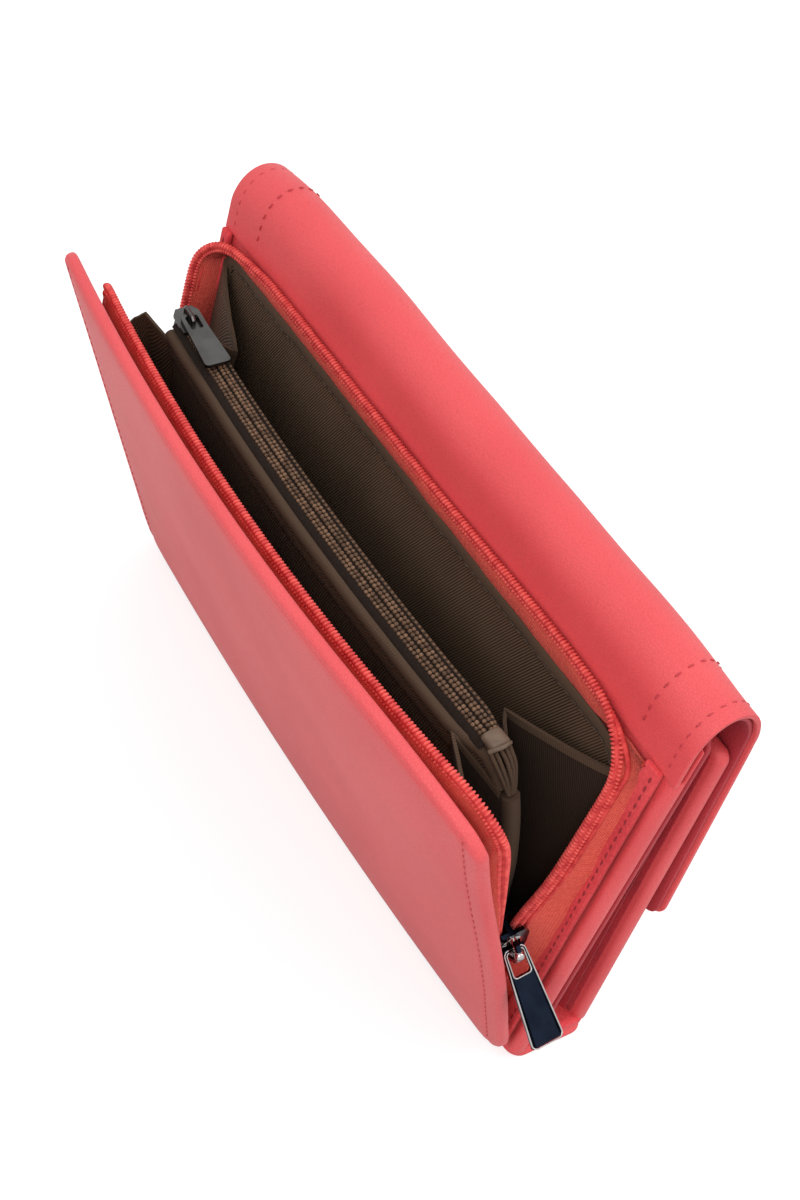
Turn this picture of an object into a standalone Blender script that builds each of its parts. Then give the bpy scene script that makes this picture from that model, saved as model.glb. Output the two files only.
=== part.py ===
"""Travel wallet with a flap and a zipped compartment, standing on its long edge with the compartment open.

Metres, +Z up. X runs along the wallet. The zip compartment opens towards -Y and the flap hangs on the
+Y side. The origin is on the underside of the base, at the middle of its length.
"""
import math

import bmesh
import bpy
from mathutils import Matrix, Vector

# Overall sizes
LENGTH = 0.190
HALF = LENGTH / 2
CLEARANCE = 0.0003
OVERRUN = 0.004
EDGE_STEPS = 2

# Base
BASE_THICKNESS = 0.0026
BASE_REAR_Y = -0.0115
BASE_FRONT_Y = 0.0112
BASE_CORNER = 0.003
BASE_EDGE = 0.0009
BASE_BOW = 0.0025
BOW_STATIONS = 12
BOW_CUTS = (BOW_STATIONS, 4)
FLOOR_MARGIN = 0.0005

# Rear wall
REAR_WALL_Y = -0.0115
REAR_WALL_LEAN = math.radians(1.9)
REAR_WALL_FOOT = 0.00295
REAR_WALL_THICKNESS = 0.0044
REAR_WALL_LEATHER = 0.0011
REAR_RIM_HEIGHT = 0.1105
REAR_TONGUE = 0.0101
REAR_WALL_HEIGHT = REAR_RIM_HEIGHT + REAR_TONGUE
REAR_RIM_WIDTH = 0.0047
REAR_BOARD_THICKNESS = 0.0019
REAR_LINING_THICKNESS = 0.0004
REAR_LINING_RECESS = 0.0004
REAR_TOP_RIM = 0.0059
REAR_HOLLOW_TOP = REAR_RIM_HEIGHT - REAR_TOP_RIM
REAR_HOLLOW_CORNER = 0.0103
REAR_EDGE_ROUND = 0.0015

# Zip panel, upright in its own frame and leaning by PANEL_LEAN
PANEL_HINGE_Y = -0.0119
PANEL_HINGE_Z = 0.0016
PANEL_LEAN = math.radians(23.4)
PANEL_SIDE_GAP = 0.0007
PANEL_HALF = HALF - PANEL_SIDE_GAP
PANEL_HEIGHT = 0.1200
PANEL_BOW_FOOT = 0.0028
PANEL_BOW_TOP = 0.0065
PANEL_THICKNESS = 0.0030
PANEL_LEATHER = 0.0010
PANEL_RIM_WIDTH = 0.0036
PANEL_TOP_CORNER = 0.0065
PANEL_FOOT_CORNER = 0.012
PANEL_EDGE_ROUND = 0.0012
PANEL_BOARD_THICKNESS = 0.0008
PANEL_LINING_THICKNESS = 0.0004

# Main zip
TAPE_THICKNESS = 0.0006
COIL_RADIUS = 0.0013
TAPE_TO_COIL = 0.0007
TAPE_SEAM_INSET = 0.0050
ZIP_FOOT_Z = 0.0170
ZIP_FOOT_INSET = 0.0140
ZIP_FOOT_X = HALF - ZIP_FOOT_INSET
ZIP_FOOT_Y = -0.0162
SLIDER_INSET = 0.0104
SLIDER_X = HALF - SLIDER_INSET
SLIDER_Y = -0.0273
SLIDER_Z = 0.0492
SLIDER_TILT = math.radians(12.4)
SIDE_COIL_INSET = 0.0080
SIDE_COIL_X = HALF - SIDE_COIL_INSET
SIDE_COIL_START = 0.0640
FOOT_SEAM_REACH = 0.0040
SLIDER_SEAM_REACH = 0.0014
WALL_COIL_Y = -0.0104
WALL_COIL_TOP_Y = -0.0024
WALL_COIL_RISE = 0.0045
WALL_COIL_TOP_Z = REAR_RIM_HEIGHT + WALL_COIL_RISE
WALL_COIL_CORNER = 0.018
WALL_SEAM_DROP = 0.0065
WALL_SEAM_TOP_Z = REAR_RIM_HEIGHT - WALL_SEAM_DROP
WALL_SEAM_CORNER = 0.010
PANEL_COIL_STANDOFF = 0.0032
PANEL_COIL_TOP = 0.1130
PANEL_SEAM_TOP = 0.1025
CORNER_STEPS = 6
STOP_WIDTH = 0.0022
STOP_HEIGHT = 0.0026
STOP_DEPTH = 0.0034

# Main slider, in its own frame: X outwards, Z up along the chain, the plates' mid-plane at X = 0
SLIDER_LENGTH = 0.0105
SLIDER_NOSE_WIDTH = 0.0092
SLIDER_TAIL_WIDTH = 0.0076
SLIDER_PLATE = 0.0010
SLIDER_CHANNEL = 0.0036
SLIDER_POST_WIDTH = 0.0012
SLIDER_POST_LENGTH = 0.0030
BRIDGE_RADIUS = 0.0008
BRIDGE_REACH = 0.0034
BRIDGE_SPAN = 0.0060
PULLER_LENGTH = 0.0230
PULLER_THICKNESS = 0.0012
PULLER_LOOP_WIDTH = 0.0056
PULLER_END_WIDTH = 0.0081
PULLER_CORNER = 0.0012
PULLER_BAR = 0.0011
PULLER_WINDOW_LENGTH = 0.0058
PULLER_DROOP = math.radians(38)

# Middle pocket, upright in its own frame on the panel's hinge line, leaning by POCKET_LEAN
POCKET_LEAN = math.radians(12.3)
POCKET_BOW_FOOT = 0.0013
POCKET_BOW_TOP = 0.0050
POCKET_FOOT_START = 0.0062
POCKET_FOOT_TOP = 0.0130
POCKET_FOOT_THICKNESS = 0.0006
POCKET_TOP = 0.0987
POCKET_TOP_INSET = 0.0190
POCKET_FOOT_INSET = 0.0185
POCKET_HALF_TOP = HALF - POCKET_TOP_INSET
POCKET_HALF_FOOT = HALF - POCKET_FOOT_INSET
POCKET_WALL_THICKNESS = 0.0005
POCKET_MOUTH = 0.0096
POCKET_SOLE = 0.0014
POCKET_ROWS = 6
POCKET_TAPE_THICKNESS = 0.0005
POCKET_COIL_WIDTH = 0.0043
POCKET_COIL_HEIGHT = 0.0016
POCKET_CHAIN_INSET = 0.0070
POCKET_CHAIN_START = POCKET_CHAIN_INSET - POCKET_HALF_TOP
POCKET_STOP_INSET = 0.0063
POCKET_STOP_LENGTH = 0.0042
POCKET_STOP_X = POCKET_HALF_TOP - POCKET_STOP_INSET - POCKET_STOP_LENGTH
POCKET_STOP_WALL = 0.0006
BINDING_RADIUS = 0.0017

# Pocket slider and puller
POCKET_SLIDER_INSET = 0.0025
POCKET_SLIDER_X = POCKET_SLIDER_INSET - POCKET_HALF_TOP
POCKET_SLIDER_LENGTH = 0.0085
POCKET_SLIDER_WIDTH = 0.0066
POCKET_SLIDER_PLATE = 0.0008
POCKET_SLIDER_CHANNEL = 0.0024
POCKET_BRIDGE_RADIUS = 0.0006
POCKET_BRIDGE_REACH = 0.0026
POCKET_BRIDGE_SPAN = 0.0048
POCKET_PULLER_LENGTH = 0.0185
POCKET_PULLER_THICKNESS = 0.0010
POCKET_PULLER_LOOP_WIDTH = 0.0050
POCKET_PULLER_END_WIDTH = 0.0066
POCKET_PULLER_CORNER = 0.0010
POCKET_PULLER_BAR = 0.0009
POCKET_PULLER_WINDOW_LENGTH = 0.0048

# Fabric gussets of the zip compartment
GUSSET_THICKNESS = 0.0004
GUSSET_FOOT_Z = 0.0230
GUSSET_TOP_Z = 0.1000
GUSSET_PANEL_TOP_Z = 0.0920
GUSSET_WALL_OUTSET = 0.0025
GUSSET_TOP_FOLD = 0.0160
GUSSET_FOOT_FOLD = 0.0065
GUSSET_WALL_X = POCKET_HALF_FOOT + GUSSET_WALL_OUTSET
GUSSET_PEAK_TOP_X = POCKET_HALF_TOP - GUSSET_TOP_FOLD
GUSSET_PEAK_FOOT_X = POCKET_HALF_FOOT - GUSSET_FOOT_FOLD
GUSSET_ROWS = 6
GUSSET_COLUMNS = 2
GUSSET_STANDOFF = 0.0009

# Flap
CROWN_ROOT_Y = -0.0006
CROWN_ROOT_Z = REAR_RIM_HEIGHT + CLEARANCE
CROWN_SIDE = 0.0085
CROWN_SPRING_Z = REAR_RIM_HEIGHT + CROWN_SIDE
CROWN_HALF_WIDTH = 0.0096
CROWN_RISE = 0.0120
CROWN_TILT = 0.0018
CROWN_STEPS = 14
CROWN_LEATHER = 0.0012
CROWN_LINING = 0.0010
FLAP_LEAN = math.radians(7.9)
FLAP_DROP = 0.0695
FLAP_THICKNESS = 0.0024
FLAP_LEATHER = 0.0008
FLAP_RIM_WIDTH = 0.0040
FLAP_CORNER = 0.0045
FLAP_EDGE_ROUND = 0.0010
FLAP_BOARD_THICKNESS = 0.0005
FLAP_LINING_THICKNESS = 0.0004

# Magnets of the closure
MAGNET_RADIUS = 0.0060
FLAP_MAGNET_THICKNESS = 0.0005
FRONT_MAGNET_THICKNESS = 0.0012
MAGNET_ABOVE_TIP = 0.0132
ROUND_STEPS = 24

# Front panel, upright in its own frame on its foot line, leaning by FRONT_LEAN
FRONT_FOOT_Y = 0.0118
FRONT_FOOT_Z = 0.0015
FRONT_LEAN = math.radians(5.5)
FRONT_SIDE_GAP = 0.0010
FRONT_HALF = HALF - FRONT_SIDE_GAP
FRONT_THICKNESS = 0.0045
FRONT_LEATHER = 0.0012
FRONT_START = 0.0019
FRONT_OVER_RIM = 0.0015
FRONT_HEIGHT = REAR_RIM_HEIGHT + FRONT_OVER_RIM
FRONT_RIM_WIDTH = 0.0050
FRONT_EDGE_ROUND = 0.0016
FRONT_BOARD_THICKNESS = 0.0014
FRONT_LINING_THICKNESS = 0.0005

# Divider leaf and its card slots
DIVIDER_FOOT_Y = -0.0035
DIVIDER_FOOT_Z = BASE_THICKNESS + CLEARANCE
DIVIDER_LEAN = math.radians(2.2)
DIVIDER_SIDE_GAP = 0.0020
DIVIDER_HALF = HALF - DIVIDER_SIDE_GAP
DIVIDER_THICKNESS = 0.0014
DIVIDER_OVER_RIM = 0.0063
DIVIDER_HEIGHT = REAR_RIM_HEIGHT + DIVIDER_OVER_RIM
DIVIDER_EDGE_ROUND = 0.0005
CARD_STRIP_COUNT = 3
CARD_STRIP_THICKNESS = 0.0006
CARD_STRIP_HEIGHT = 0.0220
CARD_STRIP_PITCH = 0.0240
CARD_STRIP_FOOT = 0.0150
CARD_STRIP_INSET = 0.0180
CARD_STRIP_HALF = DIVIDER_HALF - CARD_STRIP_INSET

# Leather end gussets of the note compartments
END_GUSSET_THICKNESS = 0.0005
END_GUSSET_INSET = 0.0050
END_GUSSET_FOLD = 0.0090
END_GUSSET_MOUTH_X = HALF - END_GUSSET_INSET
END_GUSSET_VALLEY_X = END_GUSSET_MOUTH_X - END_GUSSET_FOLD
END_GUSSET_FOOT_Z = 0.0045
END_GUSSET_DROP = 0.0035
END_GUSSET_TOP_Z = REAR_RIM_HEIGHT - END_GUSSET_DROP
END_GUSSET_ROWS = 4

# How deep the leaves are bowed at their foot and at their top, and how high they are
FLAT = (0, 0, 1)
PANEL_BOW = (PANEL_BOW_FOOT, PANEL_BOW_TOP, PANEL_HEIGHT)
POCKET_BOW = (POCKET_BOW_FOOT, POCKET_BOW_TOP, POCKET_TOP)

# Joint places that follow from the sizes
PANEL_HINGE = Vector((0, PANEL_HINGE_Y, PANEL_HINGE_Z))
REAR_WALL_ORIGIN = Vector((0, REAR_WALL_Y, 0))
REAR_WALL_TURN = Matrix.Rotation(REAR_WALL_LEAN, 3, "X")
CROWN_END = Vector((0, CROWN_ROOT_Y + 2 * CROWN_HALF_WIDTH, CROWN_SPRING_Z - CROWN_TILT))
FLAP_HINGE = REAR_WALL_ORIGIN + REAR_WALL_TURN @ CROWN_END
FRONT_HINGE = Vector((0, FRONT_FOOT_Y, FRONT_FOOT_Z))
DIVIDER_HINGE = Vector((0, DIVIDER_FOOT_Y, DIVIDER_FOOT_Z))


def start_scene():
    """Empties the scene and makes the collections for the parts and for the cutters."""
    for item in list(bpy.data.objects):
        bpy.data.objects.remove(item)
    made = []
    for name in ("travel_wallet", "cutters"):
        collection = bpy.data.collections.new(name)
        bpy.context.scene.collection.children.link(collection)
        made.append(collection)
    return made


PARTS, CUTTERS = start_scene()


def make_look(name, colour, roughness, metallic=0.0):
    """A Principled material with one colour, roughness and metallic value."""
    look = bpy.data.materials.new(name)
    look.use_nodes = True
    shader = look.node_tree.nodes["Principled BSDF"]
    shader.inputs["Base Color"].default_value = (*colour, 1.0)
    shader.inputs["Roughness"].default_value = roughness
    shader.inputs["Metallic"].default_value = metallic
    return look


CORAL = make_look("coral_leather", (0.77, 0.10, 0.11), 0.45)
SUEDE = make_look("coral_suede", (0.50, 0.03, 0.05), 0.90)
TAPE = make_look("coral_tape", (0.71, 0.08, 0.07), 0.80)
TWILL = make_look("brown_twill", (0.07, 0.045, 0.03), 0.85)
BROWN_COIL = make_look("brown_coil", (0.16, 0.10, 0.06), 0.50)
GUNMETAL = make_look("gunmetal", (0.10, 0.10, 0.11), 0.25, 1.0)
BOARD = make_look("stiffening_board", (0.35, 0.30, 0.24), 0.90)
MAGNET = make_look("magnet", (0.55, 0.55, 0.55), 0.30, 1.0)


def make_empty(name, place, turn=(0, 0, 0), parent=None):
    """An empty on a joint's axis, which carries the pieces that turn about it."""
    empty = bpy.data.objects.new(name, None)
    empty.location = place
    empty.rotation_euler = turn
    empty.parent = parent
    PARTS.objects.link(empty)
    return empty


def add_part(name, data, look, parent=None):
    """Puts a mesh or a curve into the model as one named piece."""
    part = bpy.data.objects.new(name, data)
    part.data.materials.append(look)
    part.parent = parent
    PARTS.objects.link(part)
    return part


def bow_at(x, z, bow):
    """How far a bowed leaf stands out at x and z: its full depth at the middle and nothing at the ends."""
    foot, top, height = bow
    return (foot + (top - foot) * z / height) * (1 - (x / HALF) ** 2)


def slab_mesh(name, low, high, corners=(0, 0), bow=FLAT, cuts=(0, 0)):
    """A box between two corners, with its upper and lower corners rounded in the XZ plane.

    corners gives the lower and the upper radius. With a bow, the slab is cut across at even stations along X
    and along Z, and each station is pushed towards -Y.
    """
    cage = bmesh.new()
    bmesh.ops.create_cube(cage, size=1)
    low, high = Vector(low), Vector(high)
    size = high - low
    bmesh.ops.scale(cage, vec=size, verts=cage.verts)
    bmesh.ops.translate(cage, vec=(low + high) / 2, verts=cage.verts)
    middle = (low.z + high.z) / 2
    for radius, upper in zip(corners, (False, True)):
        if radius > 0:
            edges = [edge for edge in cage.edges
                     if abs((edge.verts[1].co - edge.verts[0].co).normalized().y) > 0.9
                     and (edge.verts[0].co.z > middle) == upper]
            bmesh.ops.bevel(cage, geom=edges, offset=radius, segments=4, profile=0.5, affect="EDGES")
    for direction, count in zip((Vector((1, 0, 0)), Vector((0, 0, 1))), cuts):
        for index in range(1, count):
            bmesh.ops.bisect_plane(cage, geom=cage.verts[:] + cage.edges[:] + cage.faces[:],
                                   plane_co=low.lerp(high, index / count), plane_no=direction, dist=1e-7)
    for vert in cage.verts:
        vert.co.y -= bow_at(vert.co.x, vert.co.z, bow)
    mesh = bpy.data.meshes.new(name)
    cage.to_mesh(mesh)
    cage.free()
    return mesh


def round_edges(part, width, angle=math.radians(50)):
    """Rounds the edges that turn by more than an angle."""
    bevel = part.modifiers.new("rounded_edges", "BEVEL")
    bevel.width = width
    bevel.segments = EDGE_STEPS
    bevel.limit_method = "ANGLE"
    bevel.angle_limit = angle


def cut_with(part, tool):
    """Cuts a piece with a cutter."""
    cut = part.modifiers.new("cut_" + tool.name, "BOOLEAN")
    cut.operation = "DIFFERENCE"
    cut.solver = "EXACT"
    cut.object = tool


def join_with(part, tool):
    """Joins a cutter's solid to a piece."""
    join = part.modifiers.new("join_" + tool.name, "BOOLEAN")
    join.operation = "UNION"
    join.solver = "EXACT"
    join.object = tool


def add_cutter(name, data, parent=None):
    """A solid that only cuts, or is joined to a piece, and is no piece itself."""
    tool = bpy.data.objects.new(name, data)
    tool.parent = parent
    tool.hide_render = True
    tool.display_type = "WIRE"
    CUTTERS.objects.link(tool)
    return tool


def shade_round(part):
    """Shades a piece smooth except at its sharp edges."""
    part.data.shade_smooth()
    part.data.set_sharp_from_angle(angle=math.radians(40))


def sheet_mesh(name, place, columns, rows):
    """An open sheet: place(u, v) gives each grid point for shares u and v from 0 to 1."""
    cage = bmesh.new()
    bmesh.ops.create_grid(cage, x_segments=columns, y_segments=rows, size=0.5)
    for vert in cage.verts:
        vert.co = Vector(place(vert.co.x + 0.5, vert.co.y + 0.5))
    mesh = bpy.data.meshes.new(name)
    cage.to_mesh(mesh)
    cage.free()
    return mesh


def add_sheet(name, place, columns, rows, thickness, look, parent=None):
    """A sheet of cloth or leather with a thickness, centred on its surface."""
    part = add_part(name, sheet_mesh(name, place, columns, rows), look, parent)
    wall = part.modifiers.new("thickness", "SOLIDIFY")
    wall.thickness = thickness
    wall.offset = 0
    wall.use_even_offset = True
    shade_round(part)
    return part


def outline_curve(name, loops, depth):
    """A flat curve through closed loops of (x, y) points, filled and given a depth along its Z."""
    curve = bpy.data.curves.new(name, "CURVE")
    curve.dimensions = "2D"
    curve.fill_mode = "BOTH"
    curve.extrude = depth / 2
    for loop in loops:
        spline = curve.splines.new("POLY")
        spline.points.add(len(loop) - 1)
        for point, place in zip(spline.points, loop):
            point.co = (place[0], place[1], 0, 1)
        spline.use_cyclic_u = True
    return curve


def tube_curve(name, points, radius, steps=2):
    """A round tube through points, with closed ends."""
    curve = bpy.data.curves.new(name, "CURVE")
    curve.dimensions = "3D"
    curve.bevel_depth = radius
    curve.bevel_resolution = steps
    curve.use_fill_caps = True
    spline = curve.splines.new("POLY")
    spline.points.add(len(points) - 1)
    for point, place in zip(spline.points, points):
        point.co = (*place, 1)
    return curve


def solid_from_curve(name, curve, turn):
    """Turns a curve into a closed mesh, turned by a matrix."""
    holder = bpy.data.objects.new(name, curve)
    CUTTERS.objects.link(holder)
    bpy.context.view_layer.update()
    depsgraph = bpy.context.evaluated_depsgraph_get()
    mesh = bpy.data.meshes.new_from_object(holder.evaluated_get(depsgraph))
    bpy.data.objects.remove(holder)
    cage = bmesh.new()
    cage.from_mesh(mesh)
    bmesh.ops.remove_doubles(cage, verts=cage.verts, dist=1e-6)
    bmesh.ops.transform(cage, matrix=turn, verts=cage.verts)
    bmesh.ops.recalc_face_normals(cage, faces=cage.faces)
    cage.to_mesh(mesh)
    cage.free()
    mesh.name = name
    return mesh


# Turns a flat curve so that its outline lies in the YZ plane
ACROSS_X = Matrix(((0, 0, 1, 0), (1, 0, 0, 0), (0, 1, 0, 0), (0, 0, 0, 1)))


def arc(centre, radius, first, last, steps):
    """Points on an arc, angles in degrees, in the plane's own two axes."""
    points = []
    for index in range(steps + 1):
        angle = math.radians(first + (last - first) * index / steps)
        points.append((centre[0] + radius * math.cos(angle), centre[1] + radius * math.sin(angle)))
    return points


def make_base():
    """The leather base: its rear edge is bowed nearly as the zip panel's foot is."""
    outline = arc((HALF - BASE_CORNER, BASE_FRONT_Y - BASE_CORNER), BASE_CORNER, 0, 90, 3)
    outline += arc((-HALF + BASE_CORNER, BASE_FRONT_Y - BASE_CORNER), BASE_CORNER, 90, 180, 3)
    for index in range(BOW_STATIONS + 1):
        x = -HALF + LENGTH * index / BOW_STATIONS
        outline.append((x, BASE_REAR_Y - bow_at(x, 0, (BASE_BOW, BASE_BOW, 1))))
    curve = outline_curve("base_leather", [outline], BASE_THICKNESS)
    mesh = solid_from_curve("base_leather", curve, Matrix.Translation((0, 0, BASE_THICKNESS / 2)))
    part = add_part("base_leather", mesh, CORAL)
    round_edges(part, BASE_EDGE)
    shade_round(part)


def make_rear_wall(frame):
    """Rear wall: leather with padded ends, its board and its brown lining. Its outer face lies at y = 0."""
    foot, front = REAR_WALL_FOOT, REAR_WALL_THICKNESS
    inner = front - REAR_WALL_LEATHER
    hollow_half = HALF - REAR_RIM_WIDTH
    leather = add_part("rear_wall_leather",
                       slab_mesh("rear_wall_leather", (-HALF, 0, foot), (HALF, front, REAR_WALL_HEIGHT)),
                       CORAL, frame)
    round_edges(leather, REAR_EDGE_ROUND)
    hollow = add_cutter("rear_wall_hollow",
                        slab_mesh("rear_wall_hollow", (-hollow_half, -OVERRUN, foot - OVERRUN),
                                  (hollow_half, inner, REAR_HOLLOW_TOP), (0, REAR_HOLLOW_CORNER)), frame)
    shoulder = add_cutter("rear_wall_shoulder",
                          slab_mesh("rear_wall_shoulder", (-HALF - OVERRUN, -OVERRUN, REAR_RIM_HEIGHT),
                                    (HALF + OVERRUN, inner, REAR_WALL_HEIGHT + OVERRUN)), frame)
    cut_with(leather, hollow)
    cut_with(leather, shoulder)
    board_front = inner - CLEARANCE
    board_half = hollow_half - CLEARANCE
    board_rear = board_front - REAR_BOARD_THICKNESS
    top = REAR_HOLLOW_TOP - CLEARANCE
    corners = (0, REAR_HOLLOW_CORNER - CLEARANCE)
    add_part("rear_wall_board",
             slab_mesh("rear_wall_board", (-board_half, board_rear, foot),
                       (board_half, board_front, top), corners),
             BOARD, frame)
    lining_front = REAR_LINING_RECESS + REAR_LINING_THICKNESS
    add_part("rear_lining",
             slab_mesh("rear_lining", (-board_half, REAR_LINING_RECESS, foot),
                       (board_half, lining_front, top), corners), TWILL, frame)


def make_leaf(stem, leather_name, parent, half, foot, top, depth, leather, rim, corners, rounding, bow, cuts):
    """A leather tray with a rim, upright in its parent's frame, open on its inner side at y = 0 (+Y)."""
    part = add_part(leather_name,
                    slab_mesh(leather_name, (-half, -depth, foot), (half, 0, top), corners, bow, cuts),
                    CORAL, parent)
    round_edges(part, rounding)
    inner = [max(radius - rim, 0) for radius in corners]
    hollow = add_cutter(stem + "_hollow",
                        slab_mesh(stem + "_hollow", (-half + rim, -depth + leather, foot + rim),
                                  (half - rim, OVERRUN, top - rim), inner, bow, cuts), parent)
    cut_with(part, hollow)
    return part


def make_filling(name, parent, half, foot, top, rear, front, rim, corners, bow, cuts, look):
    """A board or a lining that lies inside a leaf's rim, between two depths."""
    inset = rim + CLEARANCE
    inner = [max(radius - inset, 0) for radius in corners]
    return add_part(name, slab_mesh(name, (-half + inset, rear, foot + inset),
                                    (half - inset, front, top - inset), inner, bow, cuts), look, parent)


def panel_foot():
    """How high the zip panel's lower edge starts, so that its bowed middle stays off the ground."""
    reach = PANEL_BOW_FOOT + PANEL_THICKNESS
    return (FLOOR_MARGIN - PANEL_HINGE_Z + reach * math.sin(PANEL_LEAN)) / math.cos(PANEL_LEAN)


def make_zip_panel(hinge):
    """Zip panel: bowed leather tray, board and brown lining."""
    foot = panel_foot()
    corners = (PANEL_FOOT_CORNER, PANEL_TOP_CORNER)
    make_leaf("zip_panel", "zip_panel_leather", hinge, PANEL_HALF, foot, PANEL_HEIGHT, PANEL_THICKNESS,
              PANEL_LEATHER, PANEL_RIM_WIDTH, corners, PANEL_EDGE_ROUND, PANEL_BOW, BOW_CUTS)
    rear = -PANEL_THICKNESS + PANEL_LEATHER + CLEARANCE
    front = rear + PANEL_BOARD_THICKNESS
    make_filling("zip_panel_board", hinge, PANEL_HALF, foot, PANEL_HEIGHT, rear, front,
                 PANEL_RIM_WIDTH, corners, PANEL_BOW, BOW_CUTS, BOARD)
    rear = front + CLEARANCE
    make_filling("zip_panel_lining", hinge, PANEL_HALF, foot, PANEL_HEIGHT,
                 rear, rear + PANEL_LINING_THICKNESS,
                 PANEL_RIM_WIDTH, corners, PANEL_BOW, BOW_CUTS, TWILL)


def mirror_path(half_path):
    """A path from one foot over the top to the other, from its +X half read from the foot up."""
    other = [Vector((-point.x, point.y, point.z)) for point in half_path]
    return half_path + list(reversed(other))


def slider_point(x, w, u):
    """A point in the main slider's frame: outwards, across and up along the chain."""
    turn = Matrix.Rotation(SLIDER_TILT, 3, "X")
    return Vector((SLIDER_X, SLIDER_Y, SLIDER_Z)) + turn @ Vector((x, w, u))


def chain_side(sign):
    """The stretch of one coil from the zip's foot up through the slider. sign is +1 for the wall's coil."""
    spread = COIL_RADIUS + CLEARANCE / 2
    foot = Vector((ZIP_FOOT_X, ZIP_FOOT_Y + sign * spread, ZIP_FOOT_Z))
    tail = slider_point(0, sign * spread, -SLIDER_LENGTH / 2)
    nose = slider_point(0, sign * (spread + SLIDER_POST_WIDTH), SLIDER_LENGTH / 2)
    return [foot, tail, nose]


def to_wall(point):
    """A world point in the rear wall's own frame."""
    return REAR_WALL_TURN.inverted() @ (point - REAR_WALL_ORIGIN)


def from_wall(point):
    """A point of the rear wall's frame in the world."""
    return REAR_WALL_ORIGIN + REAR_WALL_TURN @ point


def wall_coil_path():
    """The wall's coil: through the slider, up the side, round the corner and along the top."""
    corner = WALL_COIL_CORNER
    centre = (SIDE_COIL_X - corner, WALL_COIL_TOP_Z - corner)
    path = chain_side(1) + [from_wall(Vector((SIDE_COIL_X, WALL_COIL_Y, SIDE_COIL_START)))]
    for index, (x, z) in enumerate(arc(centre, corner, 0, 90, CORNER_STEPS)):
        share = index / CORNER_STEPS
        path.append(from_wall(Vector((x, WALL_COIL_Y + (WALL_COIL_TOP_Y - WALL_COIL_Y) * share, z))))
    return mirror_path(path)


def wall_seam_path():
    """Where the wall's tape is sewn in, station by station beside its coil."""
    seam_x = HALF - TAPE_SEAM_INSET
    seam_y = -CLEARANCE - TAPE_THICKNESS / 2
    corner = WALL_SEAM_CORNER
    heights = [to_wall(point).z for point in chain_side(1)] + [SIDE_COIL_START]
    path = [from_wall(Vector((seam_x, seam_y, height))) for height in heights]
    for x, z in arc((seam_x - corner, WALL_SEAM_TOP_Z - corner), corner, 0, 90, CORNER_STEPS):
        path.append(from_wall(Vector((x, seam_y, z))))
    return mirror_path(path)


def to_panel(point):
    """A world point in the zip panel's own frame, without its bow."""
    turn = Matrix.Rotation(-PANEL_LEAN, 3, "X")
    return turn @ (point - PANEL_HINGE)


def from_panel(point):
    """A point of the zip panel's frame in the world, with the bow added."""
    bowed = Vector((point.x, point.y - bow_at(point.x, point.z, PANEL_BOW), point.z))
    return PANEL_HINGE + Matrix.Rotation(PANEL_LEAN, 3, "X") @ bowed


def panel_coil_path():
    """The panel's coil, in the world: it parts from the wall's coil at the slider and follows the panel."""
    corner = WALL_COIL_CORNER
    centre = (SIDE_COIL_X - corner, PANEL_COIL_TOP - corner)
    path = chain_side(-1) + [from_panel(Vector((SIDE_COIL_X, PANEL_COIL_STANDOFF, SIDE_COIL_START)))]
    for x, z in arc(centre, corner, 0, 90, CORNER_STEPS):
        path.append(from_panel(Vector((x, PANEL_COIL_STANDOFF, z))))
    return mirror_path(path)


def panel_seam_path():
    """Where the panel's tape is sewn in, in the world, station by station beside its coil."""
    seam_x = HALF - TAPE_SEAM_INSET
    seam_y = TAPE_THICKNESS / 2 + CLEARANCE
    corner = WALL_SEAM_CORNER
    reaches = (FOOT_SEAM_REACH, SLIDER_SEAM_REACH, SLIDER_SEAM_REACH)
    path = [from_panel(Vector((point.x + reach, seam_y, to_panel(point).z)))
            for point, reach in zip(chain_side(-1), reaches)]
    path.append(from_panel(Vector((seam_x, seam_y, SIDE_COIL_START))))
    for x, z in arc((seam_x - corner, PANEL_SEAM_TOP - corner), corner, 0, 90, CORNER_STEPS):
        path.append(from_panel(Vector((x, seam_y, z))))
    return mirror_path(path)


def refine(path, places):
    """Even stations between the far ends of the top run, so that a bowed run stays bowed."""
    middle = len(path) // 2
    first, last = path[middle - 1], path[middle]
    return path[:middle] + places(first, last) + path[middle:]


def top_run(first, last):
    """Stations of a bowed top run, between its two ends."""
    start, end = to_panel(first), to_panel(last)
    start.y += bow_at(start.x, start.z, PANEL_BOW)
    end.y += bow_at(end.x, end.z, PANEL_BOW)
    inner = range(1, BOW_STATIONS - 2)
    return [from_panel(start.lerp(end, index / (BOW_STATIONS - 2))) for index in inner]


def add_tape(name, seam, coil, parent):
    """A ribbon from its seam to just short of its coil."""
    reach = COIL_RADIUS + TAPE_TO_COIL
    last = len(seam) - 1
    edge = []
    for index, middle in enumerate(coil):
        along = (coil[min(index + 1, last)] - coil[max(index - 1, 0)]).normalized()
        across = seam[index] - middle
        across -= along * across.dot(along)
        edge.append(middle + across.normalized() * reach)

    def place(u, v):
        index = round(v * last)
        return seam[index].lerp(edge[index], u)

    return add_sheet(name, place, 1, last, TAPE_THICKNESS, TAPE, parent)


def make_main_zip():
    """The main zip: two tapes, two coils and the bottom stop."""
    wall_coil, wall_seam = wall_coil_path(), wall_seam_path()
    panel_coil = refine(panel_coil_path(), top_run)
    panel_seam = refine(panel_seam_path(), top_run)
    add_tape("wall_zip_tape", wall_seam, wall_coil, None)
    add_tape("panel_zip_tape", panel_seam, panel_coil, None)
    add_part("wall_zip_coil", tube_curve("wall_zip_coil", wall_coil, COIL_RADIUS), TAPE)
    add_part("panel_zip_coil", tube_curve("panel_zip_coil", panel_coil, COIL_RADIUS), TAPE)


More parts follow.
